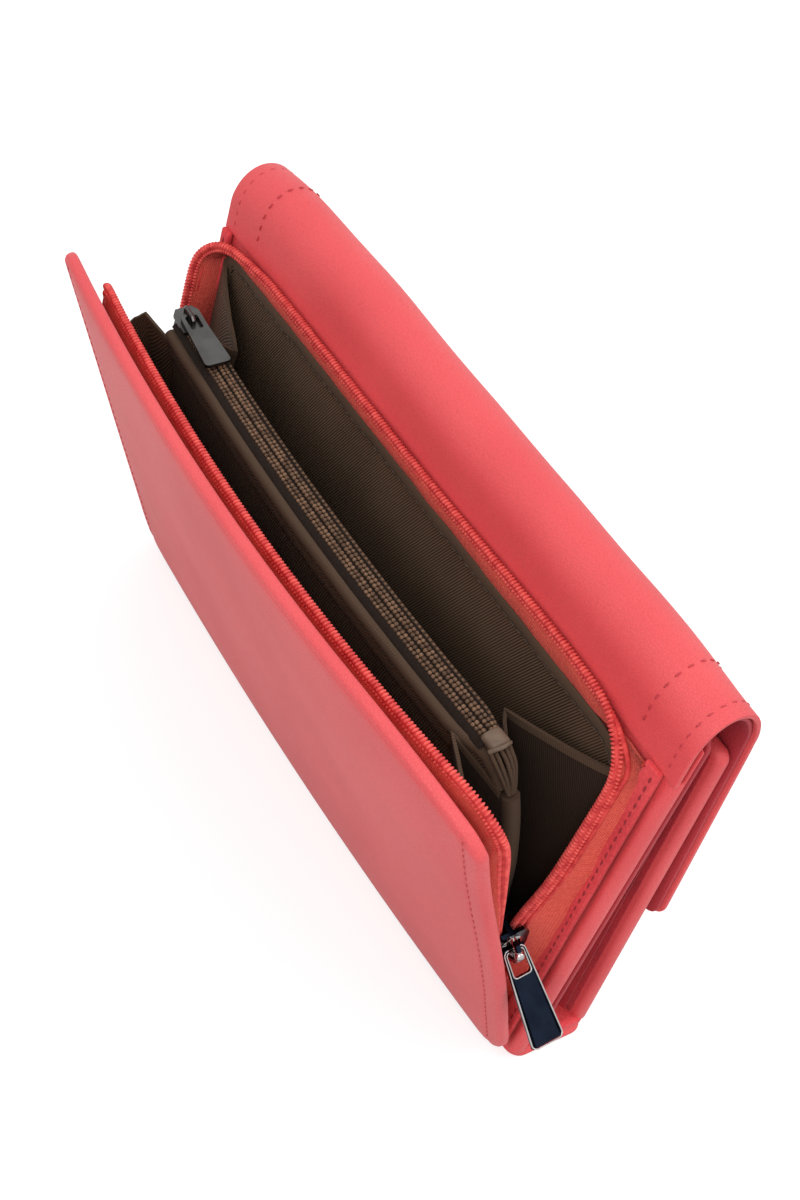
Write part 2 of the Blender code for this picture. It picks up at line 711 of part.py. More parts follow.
def make_stop():
    """The bottom stop, a small clip just under the end of the closed chain."""
    low = Vector((ZIP_FOOT_X, ZIP_FOOT_Y, ZIP_FOOT_Z - COIL_RADIUS))
    half_width, half_depth = STOP_WIDTH / 2, STOP_DEPTH / 2
    part = add_part("zip_bottom_stop",
                    slab_mesh("zip_bottom_stop",
                              (low.x - half_depth, low.y - half_width, low.z - STOP_HEIGHT),
                              (low.x + half_depth, low.y + half_width, low.z)), GUNMETAL)
    round_edges(part, BRIDGE_RADIUS / 2)


def slider_outline(length, nose, tail):
    """The shield shape of a slider's plate: wide at its nose, narrower at its tail, nose upwards."""
    shares = ((0.5, -0.15), (0.5, 0.28), (0.32, 0.5))
    right = [(tail / 2, -length / 2)]
    right += [(nose * x_share, length * z_share) for x_share, z_share in shares]
    left = [(-x, z) for x, z in reversed(right)]
    return right + left


def add_slider(name, parent, length, nose, tail, plate, channel, post, post_length, bridge, reach, span):
    """Two plates, the post between them at the nose, and the bridge that holds the puller.

    In the slider's own frame: X outwards, Y across, Z along the chain with the nose up.
    """
    outline = slider_outline(length, nose, tail)
    outer = solid_from_curve(name + "_outer", outline_curve(name + "_outer", [outline], plate), ACROSS_X)
    part = add_part(name, outer, GUNMETAL, parent)
    offset = (channel + plate) / 2
    for vert in part.data.vertices:
        vert.co.x += offset
    inner = solid_from_curve(name + "_inner", outline_curve(name + "_inner", [outline], plate),
                             Matrix.Translation((-offset, 0, 0)) @ ACROSS_X)
    inner_tool = add_cutter(name + "_inner", inner, parent)
    depth = channel / 2 + plate / 2
    post_mesh = slab_mesh(name + "_post", (-depth, -post / 2, length / 2 - post_length),
                          (depth, post / 2, length / 2 - CLEARANCE))
    post_tool = add_cutter(name + "_post", post_mesh, parent)
    foot = channel / 2 + plate / 2
    rise = channel / 2 + plate + reach - bridge
    path = [(foot, 0, -span / 2), (rise - bridge, 0, -span / 2), (rise, 0, -span / 2 + bridge),
            (rise, 0, span / 2 - bridge), (rise - bridge, 0, span / 2), (foot, 0, span / 2)]
    bridge_curve = tube_curve(name + "_bridge", path, bridge)
    bridge_mesh = solid_from_curve(name + "_bridge", bridge_curve, Matrix.Identity(4))
    bridge_tool = add_cutter(name + "_bridge", bridge_mesh, parent)
    join_with(part, post_tool)
    join_with(part, inner_tool)
    join_with(part, bridge_tool)
    return part


def rounded_loop(half_first, half_last, length, radius, start):
    """A tapered outline with round corners, from start along +X."""
    end = start + length
    loop = arc((end - radius, half_last - radius), radius, 90, 0, 3)
    loop += arc((end - radius, -half_last + radius), radius, 0, -90, 3)
    loop += arc((start + radius, -half_first + radius), radius, -90, -180, 3)
    loop += arc((start + radius, half_first - radius), radius, 180, 90, 3)
    return loop


def add_puller(name, parent, length, thickness, loop_width, end_width, corner, bar, window):
    """A flat puller along +X with an oblong window at its loop end. Its bar lies on the hinge axis."""
    start = -bar / 2
    outer = rounded_loop(loop_width / 2, end_width / 2, length, corner, start)
    hole_half = loop_width / 2 - bar
    inner = rounded_loop(hole_half, hole_half, window, corner / 2, start + bar)
    curve = outline_curve(name, [outer, inner], thickness)
    return add_part(name, curve, GUNMETAL, parent)


def make_main_slider():
    """Main slider and its puller, each on its own empty."""
    frame = make_empty("main_slider_frame", (SLIDER_X, SLIDER_Y, SLIDER_Z), (SLIDER_TILT, 0, 0))
    add_slider("main_zip_slider", frame, SLIDER_LENGTH, SLIDER_NOSE_WIDTH, SLIDER_TAIL_WIDTH,
               SLIDER_PLATE, SLIDER_CHANNEL, SLIDER_POST_WIDTH, SLIDER_POST_LENGTH,
               BRIDGE_RADIUS, BRIDGE_REACH, BRIDGE_SPAN)
    axis_x = SLIDER_CHANNEL / 2 + SLIDER_PLATE + CLEARANCE + PULLER_THICKNESS / 2
    pivot = make_empty("main_puller_hinge", (axis_x, 0, 0), (0, PULLER_DROOP, 0), frame)
    add_puller("main_zip_puller", pivot, PULLER_LENGTH, PULLER_THICKNESS, PULLER_LOOP_WIDTH, PULLER_END_WIDTH,
               PULLER_CORNER, PULLER_BAR, PULLER_WINDOW_LENGTH)


def pocket_half_at(z):
    """Half the pocket's length at a height in its own frame: it narrows towards its top."""
    share = (z - POCKET_FOOT_TOP) / (POCKET_TOP - POCKET_FOOT_TOP)
    return POCKET_HALF_FOOT + (POCKET_HALF_TOP - POCKET_HALF_FOOT) * share


def make_pocket_wall(name, hinge, sign):
    """One fabric wall of the pocket, bowed along X. sign is +1 for the rear one."""
    outer = POCKET_MOUTH / 2
    sole = POCKET_SOLE / 2 + POCKET_WALL_THICKNESS / 2

    def place(u, v):
        z = POCKET_FOOT_TOP + CLEARANCE + (POCKET_TOP - POCKET_FOOT_TOP - CLEARANCE) * v
        half = pocket_half_at(z) - BINDING_RADIUS - CLEARANCE * 2
        x = half * (2 * u - 1)
        bulge = sole + (outer - sole) * math.sin(v * math.pi / 2)
        return (x, sign * bulge - bow_at(x, z, POCKET_BOW), z)

    add_sheet(name, place, BOW_STATIONS, POCKET_ROWS, POCKET_WALL_THICKNESS, TWILL, hinge)


def make_pocket_tape(name, hinge, sign):
    """A flat tape beside the pocket's coil, from the coil to the wall's upper edge."""
    inner = POCKET_COIL_WIDTH / 2 + CLEARANCE
    outer = POCKET_MOUTH / 2 + POCKET_WALL_THICKNESS / 2
    z = POCKET_TOP + CLEARANCE + POCKET_TAPE_THICKNESS

    def place(u, v):
        x = (POCKET_HALF_TOP - CLEARANCE) * (2 * v - 1)
        return (x, sign * (inner + (outer - inner) * u) - bow_at(x, z, POCKET_BOW), z)

    add_sheet(name, place, 1, BOW_STATIONS, POCKET_TAPE_THICKNESS, BROWN_COIL, hinge)


def make_pocket_coil(hinge):
    """The closed chain of the pocket's zip, two coils wide, from the slider's tail to the stop."""
    end = POCKET_STOP_X + POCKET_STOP_LENGTH
    z = POCKET_TOP + CLEARANCE + POCKET_TAPE_THICKNESS

    def place(u, v):
        x = POCKET_CHAIN_START + (end - POCKET_CHAIN_START) * v
        return (x, POCKET_COIL_WIDTH * (u - 0.5) - bow_at(x, z, POCKET_BOW), z)

    part = add_sheet("pocket_zip_coil", place, 1, BOW_STATIONS, POCKET_COIL_HEIGHT, BROWN_COIL, hinge)
    round_edges(part, POCKET_COIL_HEIGHT / 4)


def make_pocket_stop(hinge):
    """The crimped stop: a clip over the chain's end."""
    half = POCKET_COIL_WIDTH / 2 + CLEARANCE
    z = POCKET_TOP + CLEARANCE + POCKET_TAPE_THICKNESS
    top = z + POCKET_COIL_HEIGHT / 2 + CLEARANCE
    middle = POCKET_STOP_X + POCKET_STOP_LENGTH / 2
    y = -bow_at(middle, z, POCKET_BOW)
    side = half - CLEARANCE
    part = add_part("pocket_zip_stop",
                    slab_mesh("pocket_zip_stop", (POCKET_STOP_X, y - side, top),
                              (POCKET_STOP_X + POCKET_STOP_LENGTH, y + side, top + POCKET_STOP_WALL)),
                    BROWN_COIL, hinge)
    round_edges(part, POCKET_STOP_WALL / 3)


def make_pocket_binding(name, hinge, sign):
    """The rolled binding down one end of the pocket."""
    points = []
    foot, top = POCKET_FOOT_TOP + 2 * CLEARANCE, POCKET_TOP - BINDING_RADIUS
    for index in range(POCKET_ROWS + 1):
        z = foot + (top - foot) * index / POCKET_ROWS
        x = sign * pocket_half_at(z)
        points.append((x, -bow_at(x, z, POCKET_BOW), z))
    add_part(name, tube_curve(name, points, BINDING_RADIUS), TWILL, hinge)


def make_pocket_foot(hinge):
    """The pocket's seam tab, sewn in at the fold of the base."""

    def place(u, v):
        x = POCKET_HALF_FOOT * (2 * u - 1)
        z = POCKET_FOOT_START + (POCKET_FOOT_TOP - POCKET_FOOT_START) * v
        return (x, -bow_at(x, z, POCKET_BOW), z)

    add_sheet("pocket_foot", place, BOW_STATIONS, 1, POCKET_FOOT_THICKNESS, TWILL, hinge)


def make_pocket(hinge):
    """The middle pocket with its zip."""
    make_pocket_wall("pocket_rear_wall", hinge, 1)
    make_pocket_wall("pocket_front_wall", hinge, -1)
    make_pocket_tape("pocket_zip_tape_rear", hinge, 1)
    make_pocket_tape("pocket_zip_tape_front", hinge, -1)
    make_pocket_coil(hinge)
    make_pocket_stop(hinge)
    make_pocket_binding("pocket_binding_right", hinge, 1)
    make_pocket_binding("pocket_binding_left", hinge, -1)
    make_pocket_foot(hinge)


def make_pocket_slider(hinge):
    """The pocket's slider with its nose towards -X, and its puller lying along the coil.

    Both hang on an empty at the middle of the circle that the bowed zip follows.
    """
    z = POCKET_TOP + CLEARANCE + POCKET_TAPE_THICKNESS
    bow = bow_at(0, z, POCKET_BOW)
    radius = (HALF ** 2 + bow ** 2) / (2 * bow)
    track_turn = math.asin(POCKET_SLIDER_X / radius)
    track = make_empty("pocket_track_centre", (0, radius - bow, z), (0, 0, track_turn), hinge)
    turn = Matrix(((0, 0, -1), (0, 1, 0), (1, 0, 0))).to_euler()
    frame = make_empty("pocket_slider_frame", (0, -radius, 0), turn, track)
    add_slider("pocket_slider", frame, POCKET_SLIDER_LENGTH, POCKET_SLIDER_WIDTH, POCKET_SLIDER_WIDTH,
               POCKET_SLIDER_PLATE, POCKET_SLIDER_CHANNEL, SLIDER_POST_WIDTH, SLIDER_POST_LENGTH,
               POCKET_BRIDGE_RADIUS, POCKET_BRIDGE_REACH, POCKET_BRIDGE_SPAN)
    rise = POCKET_SLIDER_CHANNEL / 2 + POCKET_SLIDER_PLATE + CLEARANCE + POCKET_PULLER_THICKNESS / 2
    pivot = make_empty("pocket_puller_hinge", (0, -radius, rise), (0, 0, 0), track)
    add_puller("pocket_puller", pivot, POCKET_PULLER_LENGTH, POCKET_PULLER_THICKNESS,
               POCKET_PULLER_LOOP_WIDTH, POCKET_PULLER_END_WIDTH, POCKET_PULLER_CORNER,
               POCKET_PULLER_BAR, POCKET_PULLER_WINDOW_LENGTH)


def leaf_point(lean, bow, x, offset, z):
    """A world point of a leaf on the panel's hinge line: x, its distance from the leaf and its height."""
    turn = Matrix.Rotation(lean, 3, "X")
    height = (z - PANEL_HINGE_Z) / math.cos(lean)
    return PANEL_HINGE + turn @ Vector((x, offset - bow_at(x, height, bow), height))


def make_fabric_gusset(name, sign, rear):
    """A folded fabric gusset from a wall to the pocket's end, with its fold pointing inwards."""

    def place(u, v):
        z = GUSSET_FOOT_Z + (GUSSET_TOP_Z - GUSSET_FOOT_Z) * v
        edge_top = GUSSET_TOP_Z if rear else GUSSET_PANEL_TOP_Z
        edge_z = GUSSET_FOOT_Z + (edge_top - GUSSET_FOOT_Z) * v
        pocket_x = pocket_half_at(z) - BINDING_RADIUS
        pocket_side = 1 if rear else -1
        share = (z - POCKET_FOOT_TOP) / (POCKET_TOP - POCKET_FOOT_TOP)
        reach = POCKET_SOLE / 2 + (POCKET_MOUTH - POCKET_SOLE) / 2 * math.sin(min(share, 1) * math.pi / 2)
        pocket_edge = leaf_point(POCKET_LEAN, POCKET_BOW, pocket_x,
                                 pocket_side * (reach + POCKET_WALL_THICKNESS + GUSSET_STANDOFF), z)
        if rear:
            wall_edge = from_wall(Vector((GUSSET_WALL_X, -GUSSET_STANDOFF, edge_z)))
        else:
            wall_edge = leaf_point(PANEL_LEAN, PANEL_BOW, GUSSET_WALL_X, GUSSET_STANDOFF, edge_z)
        peak = (wall_edge + pocket_edge) / 2
        peak.x = GUSSET_PEAK_FOOT_X + (GUSSET_PEAK_TOP_X - GUSSET_PEAK_FOOT_X) * v
        peak.z = z
        point = wall_edge.lerp(peak, 2 * u) if u <= 0.5 else peak.lerp(pocket_edge, 2 * u - 1)
        point.x *= sign
        return point

    add_sheet(name, place, GUSSET_COLUMNS, GUSSET_ROWS, GUSSET_THICKNESS, TWILL)


def make_fabric_gussets():
    """The four gussets: rear and front, right and left."""
    for side, sign in (("right", 1), ("left", -1)):
        make_fabric_gusset("rear_fabric_gusset_" + side, sign, True)
        make_fabric_gusset("front_fabric_gusset_" + side, sign, False)


def crown_section(inset, thickness):
    """The crown's section in the YZ plane of the rear wall's frame, from its root over the top to its end."""
    centre = (CROWN_ROOT_Y + CROWN_HALF_WIDTH, CROWN_SPRING_Z)
    outer_loop, inner_loop = [], []
    for loop, depth in ((outer_loop, inset), (inner_loop, inset + thickness)):
        loop.append((CROWN_ROOT_Y + depth, CROWN_ROOT_Z))
        for y, z in arc((0, 0), 1, 180, 0, CROWN_STEPS):
            rise = z * (CROWN_RISE - depth) - y * CROWN_TILT
            loop.append((centre[0] + y * (CROWN_HALF_WIDTH - depth), centre[1] + rise))
    return outer_loop + list(reversed(inner_loop))


def make_crown(frame):
    """The flap's crown, which stays with the rear wall: leather outside and lining inside."""
    for name, inset, thickness, half in (("flap_crown_leather", 0, CROWN_LEATHER, HALF),
                                         ("flap_crown_lining", CROWN_LEATHER + CLEARANCE, CROWN_LINING,
                                          HALF - CLEARANCE * 2)):
        curve = outline_curve(name, [crown_section(inset, thickness)], 2 * half)
        part = add_part(name, solid_from_curve(name, curve, ACROSS_X), CORAL, frame)
        shade_round(part)


def add_magnet(name, parent, rear, front, z):
    """A round magnet that lies in the hole of a board."""
    cage = bmesh.new()
    turn = Matrix.Rotation(math.pi / 2, 4, "X")
    place = Matrix.Translation((0, (rear + front) / 2, z)) @ turn
    bmesh.ops.create_cone(cage, cap_ends=True, segments=ROUND_STEPS, radius1=MAGNET_RADIUS,
                          radius2=MAGNET_RADIUS, depth=front - rear, matrix=place)
    mesh = bpy.data.meshes.new(name)
    cage.to_mesh(mesh)
    cage.free()
    return add_part(name, mesh, MAGNET, parent)


def cut_magnet_hole(board, parent, z):
    """The hole in a board that its magnet lies in."""
    cage = bmesh.new()
    radius = MAGNET_RADIUS + CLEARANCE
    place = Matrix.Translation((0, 0, z)) @ Matrix.Rotation(math.pi / 2, 4, "X")
    bmesh.ops.create_cone(cage, cap_ends=True, segments=ROUND_STEPS, radius1=radius, radius2=radius,
                          depth=4 * OVERRUN, matrix=place)
    mesh = bpy.data.meshes.new(board.name + "_hole")
    cage.to_mesh(mesh)
    cage.free()
    cut_with(board, add_cutter(board.name + "_hole", mesh, parent))


def make_flap(hinge):
    """The hanging front of the flap. Its outer face lies at y = 0 in its frame, its inner face at -Y."""
    top, tip = -CLEARANCE, -FLAP_DROP
    leather = add_part("flap_front_leather",
                       slab_mesh("flap_front_leather", (-HALF, -FLAP_THICKNESS, tip), (HALF, 0, top),
                                 (FLAP_CORNER, 0)), CORAL, hinge)
    round_edges(leather, FLAP_EDGE_ROUND)
    rim = FLAP_RIM_WIDTH
    hollow = add_cutter("flap_hollow",
                        slab_mesh("flap_hollow", (-HALF + rim, -FLAP_THICKNESS - OVERRUN, tip + rim),
                                  (HALF - rim, -FLAP_LEATHER, top - rim)), hinge)
    cut_with(leather, hollow)
    inset = rim + CLEARANCE
    front = -FLAP_LEATHER - CLEARANCE
    rear = front - FLAP_BOARD_THICKNESS
    board = add_part("flap_board", slab_mesh("flap_board", (-HALF + inset, rear, tip + inset),
                                             (HALF - inset, front, top - inset)), BOARD, hinge)
    magnet_z = MAGNET_ABOVE_TIP - FLAP_DROP
    cut_magnet_hole(board, hinge, magnet_z)
    add_magnet("flap_magnet", hinge, front - FLAP_MAGNET_THICKNESS, front, magnet_z)
    front = rear - CLEARANCE
    add_part("flap_lining",
             slab_mesh("flap_lining", (-HALF + inset, front - FLAP_LINING_THICKNESS, tip + inset),
                       (HALF - inset, front, top - inset)), CORAL, hinge)


def make_front_panel(hinge):
    """The front panel. Its outer face lies at y = 0 in its frame and its lined side at -Y."""
    foot, top, half = FRONT_START, FRONT_HEIGHT, FRONT_HALF
    leather = add_part("front_panel_leather",
                       slab_mesh("front_panel_leather", (-half, -FRONT_THICKNESS, foot), (half, 0, top)),
                       CORAL, hinge)
    round_edges(leather, FRONT_EDGE_ROUND)
    rim = FRONT_RIM_WIDTH
    hollow = add_cutter("front_panel_hollow",
                        slab_mesh("front_panel_hollow", (-half + rim, -FRONT_THICKNESS - OVERRUN, foot + rim),
                                  (half - rim, -FRONT_LEATHER, top - rim)), hinge)
    cut_with(leather, hollow)
    inset = rim + CLEARANCE
    front = -FRONT_LEATHER - CLEARANCE
    rear = front - FRONT_BOARD_THICKNESS
    board = add_part("front_panel_board", slab_mesh("front_panel_board", (-half + inset, rear, foot + inset),
                                                    (half - inset, front, top - inset)), BOARD, hinge)
    magnet_height = FLAP_HINGE.z + (MAGNET_ABOVE_TIP - FLAP_DROP) * math.cos(FLAP_LEAN)
    magnet_z = magnet_height / math.cos(FRONT_LEAN)
    cut_magnet_hole(board, hinge, magnet_z)
    add_magnet("front_panel_magnet", hinge, front - FRONT_MAGNET_THICKNESS, front, magnet_z)
    front = rear - CLEARANCE
    add_part("front_panel_lining",
             slab_mesh("front_panel_lining", (-half + inset, front - FRONT_LINING_THICKNESS, foot + inset),
                       (half - inset, front, top - inset)), SUEDE, hinge)


def make_divider(hinge):
    """The divider leaf, with its card slot strips on the side of the front panel."""
    side = DIVIDER_THICKNESS / 2
    leaf = add_part("divider_leather",
                    slab_mesh("divider_leather", (-DIVIDER_HALF, -side, 0),
                              (DIVIDER_HALF, side, DIVIDER_HEIGHT)),
                    CORAL, hinge)
    round_edges(leaf, DIVIDER_EDGE_ROUND)
    rear = side + CLEARANCE
    for index in range(CARD_STRIP_COUNT):
        low = CARD_STRIP_FOOT + index * CARD_STRIP_PITCH
        name = "card_slot_" + str(index + 1)
        add_part(name, slab_mesh(name, (-CARD_STRIP_HALF, rear, low),
                                 (CARD_STRIP_HALF, rear + CARD_STRIP_THICKNESS, low + CARD_STRIP_HEIGHT)),
                 CORAL, hinge)


def make_end_gusset(name, sign, rear_edge, front_edge):
    """A leather end gusset: a V whose fold points inwards, between two leaves' faces given by height."""

    def place(u, v):
        z = END_GUSSET_FOOT_Z + (END_GUSSET_TOP_Z - END_GUSSET_FOOT_Z) * v
        standoff = END_GUSSET_THICKNESS / 2 + CLEARANCE
        rear, front = rear_edge(z) + standoff, front_edge(z) - standoff
        x = END_GUSSET_MOUTH_X - (END_GUSSET_MOUTH_X - END_GUSSET_VALLEY_X) * (1 - abs(2 * u - 1))
        return (sign * x, rear + (front - rear) * u, z)

    add_sheet(name, place, 2, END_GUSSET_ROWS, END_GUSSET_THICKNESS, SUEDE)


def make_end_gussets():
    """The four end gussets of the note compartments."""

    def wall_front(z):
        reach = REAR_WALL_THICKNESS / math.cos(REAR_WALL_LEAN)
        return REAR_WALL_Y + reach - z * math.tan(REAR_WALL_LEAN)

    def divider_face(z, side):
        reach = (DIVIDER_THICKNESS / 2) / math.cos(DIVIDER_LEAN)
        return DIVIDER_FOOT_Y - (z - DIVIDER_FOOT_Z) * math.tan(DIVIDER_LEAN) + side * reach

    def front_rear(z):
        lean = FRONT_LEAN
        return FRONT_FOOT_Y - FRONT_THICKNESS / math.cos(lean) - (z - FRONT_FOOT_Z) * math.tan(lean)

    for side, sign in (("right", 1), ("left", -1)):
        make_end_gusset("rear_end_gusset_" + side, sign, wall_front, lambda z: divider_face(z, -1))
        make_end_gusset("front_end_gusset_" + side, sign, lambda z: divider_face(z, 1), front_rear)


def build():
    """Builds the whole wallet."""
    make_base()
    wall_frame = make_empty("rear_wall_frame", REAR_WALL_ORIGIN, (REAR_WALL_LEAN, 0, 0))
    make_rear_wall(wall_frame)
    make_crown(wall_frame)
    make_zip_panel(make_empty("zip_panel_hinge", PANEL_HINGE, (PANEL_LEAN, 0, 0)))
    make_main_zip()
    make_stop()
    make_main_slider()
    pocket_hinge = make_empty("pocket_hinge", PANEL_HINGE, (POCKET_LEAN, 0, 0))
    make_pocket(pocket_hinge)
    make_pocket_slider(pocket_hinge)
    make_fabric_gussets()
    make_flap(make_empty("flap_hinge", FLAP_HINGE, (FLAP_LEAN, 0, 0)))
    make_front_panel(make_empty("front_panel_hinge", FRONT_HINGE, (FRONT_LEAN, 0, 0)))
    make_divider(make_empty("divider_hinge", DIVIDER_HINGE, (DIVIDER_LEAN, 0, 0)))
    make_end_gussets()


build()
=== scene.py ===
"""Travel wallet standing on its long edge with the zip compartment open, as it is seen, with its finishes.

Metres, +Z up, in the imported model's frame. X runs along the wallet, the zip compartment opens towards -Y
and the flap hangs on the +Y side.
"""

import math

import bpy
from mathutils import Matrix, Vector, noise


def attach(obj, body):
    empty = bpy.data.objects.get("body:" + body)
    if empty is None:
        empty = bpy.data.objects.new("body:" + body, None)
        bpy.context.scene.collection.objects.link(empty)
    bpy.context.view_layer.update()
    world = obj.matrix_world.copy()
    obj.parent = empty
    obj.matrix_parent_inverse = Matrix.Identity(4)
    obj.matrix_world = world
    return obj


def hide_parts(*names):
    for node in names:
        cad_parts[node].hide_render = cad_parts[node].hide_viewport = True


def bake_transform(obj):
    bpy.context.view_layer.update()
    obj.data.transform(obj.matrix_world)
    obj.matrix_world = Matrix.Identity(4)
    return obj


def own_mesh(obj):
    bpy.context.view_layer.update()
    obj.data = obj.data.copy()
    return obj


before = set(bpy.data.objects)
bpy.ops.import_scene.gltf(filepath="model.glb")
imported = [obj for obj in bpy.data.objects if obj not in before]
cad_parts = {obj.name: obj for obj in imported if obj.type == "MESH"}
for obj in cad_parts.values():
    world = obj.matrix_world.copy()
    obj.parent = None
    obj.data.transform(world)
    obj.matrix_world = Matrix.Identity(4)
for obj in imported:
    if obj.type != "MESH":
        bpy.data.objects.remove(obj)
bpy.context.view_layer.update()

UP, OUT, SIDE = Vector((0, 0, 1)), Vector((0, 1, 0)), Vector((1, 0, 0))
ENDS = (("right", 1), ("left", -1))
FACES = (("rear", 1), ("front", -1))

# Half the wallet's length, the wall's foot, the pocket's heights and lean and the thin cloths' thickness
HALF = 0.095
WALL_FOOT = -0.0115
POCKET_LOW, POCKET_HIGH, POCKET_ZIP, POCKET_LEAN = 0.013, 0.0987, 0.0995, 12.3
LINING, CLOTH = 0.0004, 0.0005
HEM_ROUNDING = 0.0002


class Leaf:
    """A board that leans towards -Y. bow is how far its middle stands out at the foot and at a height."""

    def __init__(self, place, lean, bow=(0, 0, 1)):
        self.frame = Matrix.Translation(place) @ Matrix.Rotation(math.radians(lean), 4, "X")
        self.bow = bow

    def swell(self, x, z):
        """How far the leaf is bowed at x and z."""
        foot, top, height = self.bow
        return (foot + (top - foot) * z / height) * (1 - (x / HALF) ** 2)

    def at(self, x, y, z):
        """A point of the leaf in the world."""
        return self.frame @ Vector((x, y - self.swell(x, z), z))

    def local(self, point):
        """A world point in the leaf's own frame, without the bow."""
        found = self.frame.inverted() @ point
        found.y += self.swell(found.x, found.z)
        return found

    def turned(self, direction):
        """A direction of the leaf in the world."""
        return self.frame.to_3x3() @ direction


# Places of the leaves and of the main zip's chain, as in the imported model
PANEL_HINGE = (0, -0.0119, 0.0016)
FLAP_HINGE = Vector((0, 0.003204, 0.117753))
WALL = Leaf((0, WALL_FOOT, 0), 1.9)
PANEL = Leaf(PANEL_HINGE, 23.4, (0.0028, 0.0065, 0.12))
POCKET = Leaf(PANEL_HINGE, POCKET_LEAN, (0.0013, 0.005, POCKET_HIGH))
FLAP = Leaf(FLAP_HINGE, 7.9)
FRONT = Leaf((0, 0.0118, 0.0015), 5.5)
DIVIDER = Leaf((0, -0.0035, 0.0029), 2.2)
CHAIN = Leaf((0.0846, -0.0273, 0.0492), 12.4)


def run(first, last, steps):
    """Values from first to last in even steps."""
    return [first + (last - first) * index / steps for index in range(steps + 1)]


def cuts(low, high, count):
    """The places that part a length evenly."""
    return run(low, high, count)[1:-1]


def ramp(value, begin, reach):
    """0 up to begin, 1 from begin plus reach on, and straight between them."""
    return min(max((value - begin) / reach, 0), 1)


def ease(value, begin, reach):
    """A ramp with soft ends."""
    share = ramp(value, begin, reach)
    return share * share * (3 - 2 * share)


def hump(share):
    """0 at shares 0 and 1, with 1 half way."""
    return math.sin(math.pi * share)


def ripple(x, z, size, depth, seed=0.0):
    """Soft unevenness of leather and cloth: size is how wide a swell is, depth how high."""
    return depth * noise.noise(Vector((x / size, z / size, seed)))


# Modelling

# The angle under which small round shapes are shaded smooth
SMALL_ANGLE = 80


def activate(piece):
    """Makes a piece the only selected one."""
    bpy.ops.object.select_all(action="DESELECT")
    piece.select_set(True)
    bpy.context.view_layer.objects.active = piece


def start(name, add, place=(0, 0, 0), stretch=(1, 1, 1), **settings):
    """Adds a primitive, with its place and size applied."""
    bpy.ops.object.select_all(action="DESELECT")
    add(location=place, **settings)
    piece = bpy.context.object
    piece.scale = stretch
    piece.name = piece.data.name = name
    bpy.ops.object.transform_apply(location=True, rotation=True, scale=True)
    return piece


def link(name, data):
    """A new object of some data in the scene."""
    piece = bpy.data.objects.new(name, data)
    bpy.context.scene.collection.objects.link(piece)
    return piece


def start_box(name, low, high):
    """A box between two corners."""
    low, high = Vector(low), Vector(high)
    return start(name, bpy.ops.mesh.primitive_cube_add, (low + high) / 2, high - low, size=1)


def pick(piece, kind, test):
    """Enters edit mode with only the vertices, edges or polygons selected whose corners pass a test."""
    activate(piece)
    modes = ("vertices", "edges", "polygons")
    bpy.context.tool_settings.mesh_select_mode = [kind == mode for mode in modes]
    mesh = piece.data
    for mode in modes:
        for item in getattr(mesh, mode):
            item.select = False
    for item in getattr(mesh, kind):
        corners = [item.index] if kind == "vertices" else item.vertices
        item.select = test([mesh.vertices[index].co for index in corners])
    bpy.ops.object.mode_set(mode="EDIT")


def leave():
    """Goes back to object mode."""
    bpy.ops.object.mode_set(mode="OBJECT")


def modify(piece, kind, **settings):
    """Adds a modifier, sets it and applies it."""
    activate(piece)
    modifier = piece.modifiers.new(kind.lower(), kind)
    for name, value in settings.items():
        setattr(modifier, name, value)
    bpy.ops.object.modifier_apply(modifier=modifier.name)


def round_edges(piece, width, segments=3, angle=45):
    """Rounds the edges that turn by more than an angle."""
    modify(piece, "BEVEL", width=width, segments=segments, limit_method="ANGLE",
           angle_limit=math.radians(angle))


def bevel_where(piece, width, segments, test):
    """Bevels the edges whose two ends pass a test."""
    pick(piece, "edges", test)
    bpy.ops.mesh.bevel(offset=width, segments=segments, affect="EDGES")
    leave()


def cut_across(piece, direction, places):
    """Cuts a piece across at places along a direction, so that it can be bent."""
    activate(piece)
    bpy.ops.object.mode_set(mode="EDIT")
    for place in places:
        bpy.ops.mesh.select_all(action="SELECT")
        bpy.ops.mesh.bisect(plane_co=direction * place, plane_no=direction)
    leave()


def reshape(piece, place):
    """Moves every vertex to place(x, y, z)."""
    for vertex in piece.data.vertices:
        vertex.co = place(*vertex.co)
    piece.data.update()


def smooth(piece, angle=40):
    """Shades a piece smooth but for its sharp edges."""
    activate(piece)
    bpy.ops.object.shade_smooth_by_angle(angle=math.radians(angle))
    return piece


def clean(piece):
    """Closes seams and turns all faces outwards."""
    pick(piece, "vertices", lambda corners: True)
    bpy.ops.mesh.remove_doubles(threshold=1e-6)
    bpy.ops.mesh.normals_make_consistent(inside=False)
    leave()


def slab(name, low, high, corners, rounding, counts, place, more=([], [])):
    """A board with round corners and edges, cut across and shaped by place. more are cuts along X and Z."""
    piece = start_box(name, low, high)
    middle = (low[2] + high[2]) / 2
    for radius, upper in zip(corners, (False, True)):
        if radius:
            bevel_where(piece, radius, 7, lambda ends, upper=upper: (ends[0].z > middle) == upper
                        and abs((ends[1] - ends[0]).normalized().y) > 0.9)
    round_edges(piece, rounding)
    cut_across(piece, SIDE, cuts(low[0], high[0], counts[0]) + more[0])
    cut_across(piece, UP, cuts(low[2], high[2], counts[1]) + more[1])
    reshape(piece, place)
    return smooth(piece)


def lay_weave(mesh, spot):
    """Gives a mesh the weave's UV map, in metres: spot is given a vertex's index."""
    weave = mesh.uv_layers.active or mesh.uv_layers.new(name="weave")
    for loop in mesh.loops:
        weave.data[loop.index].uv = spot(loop.vertex_index)


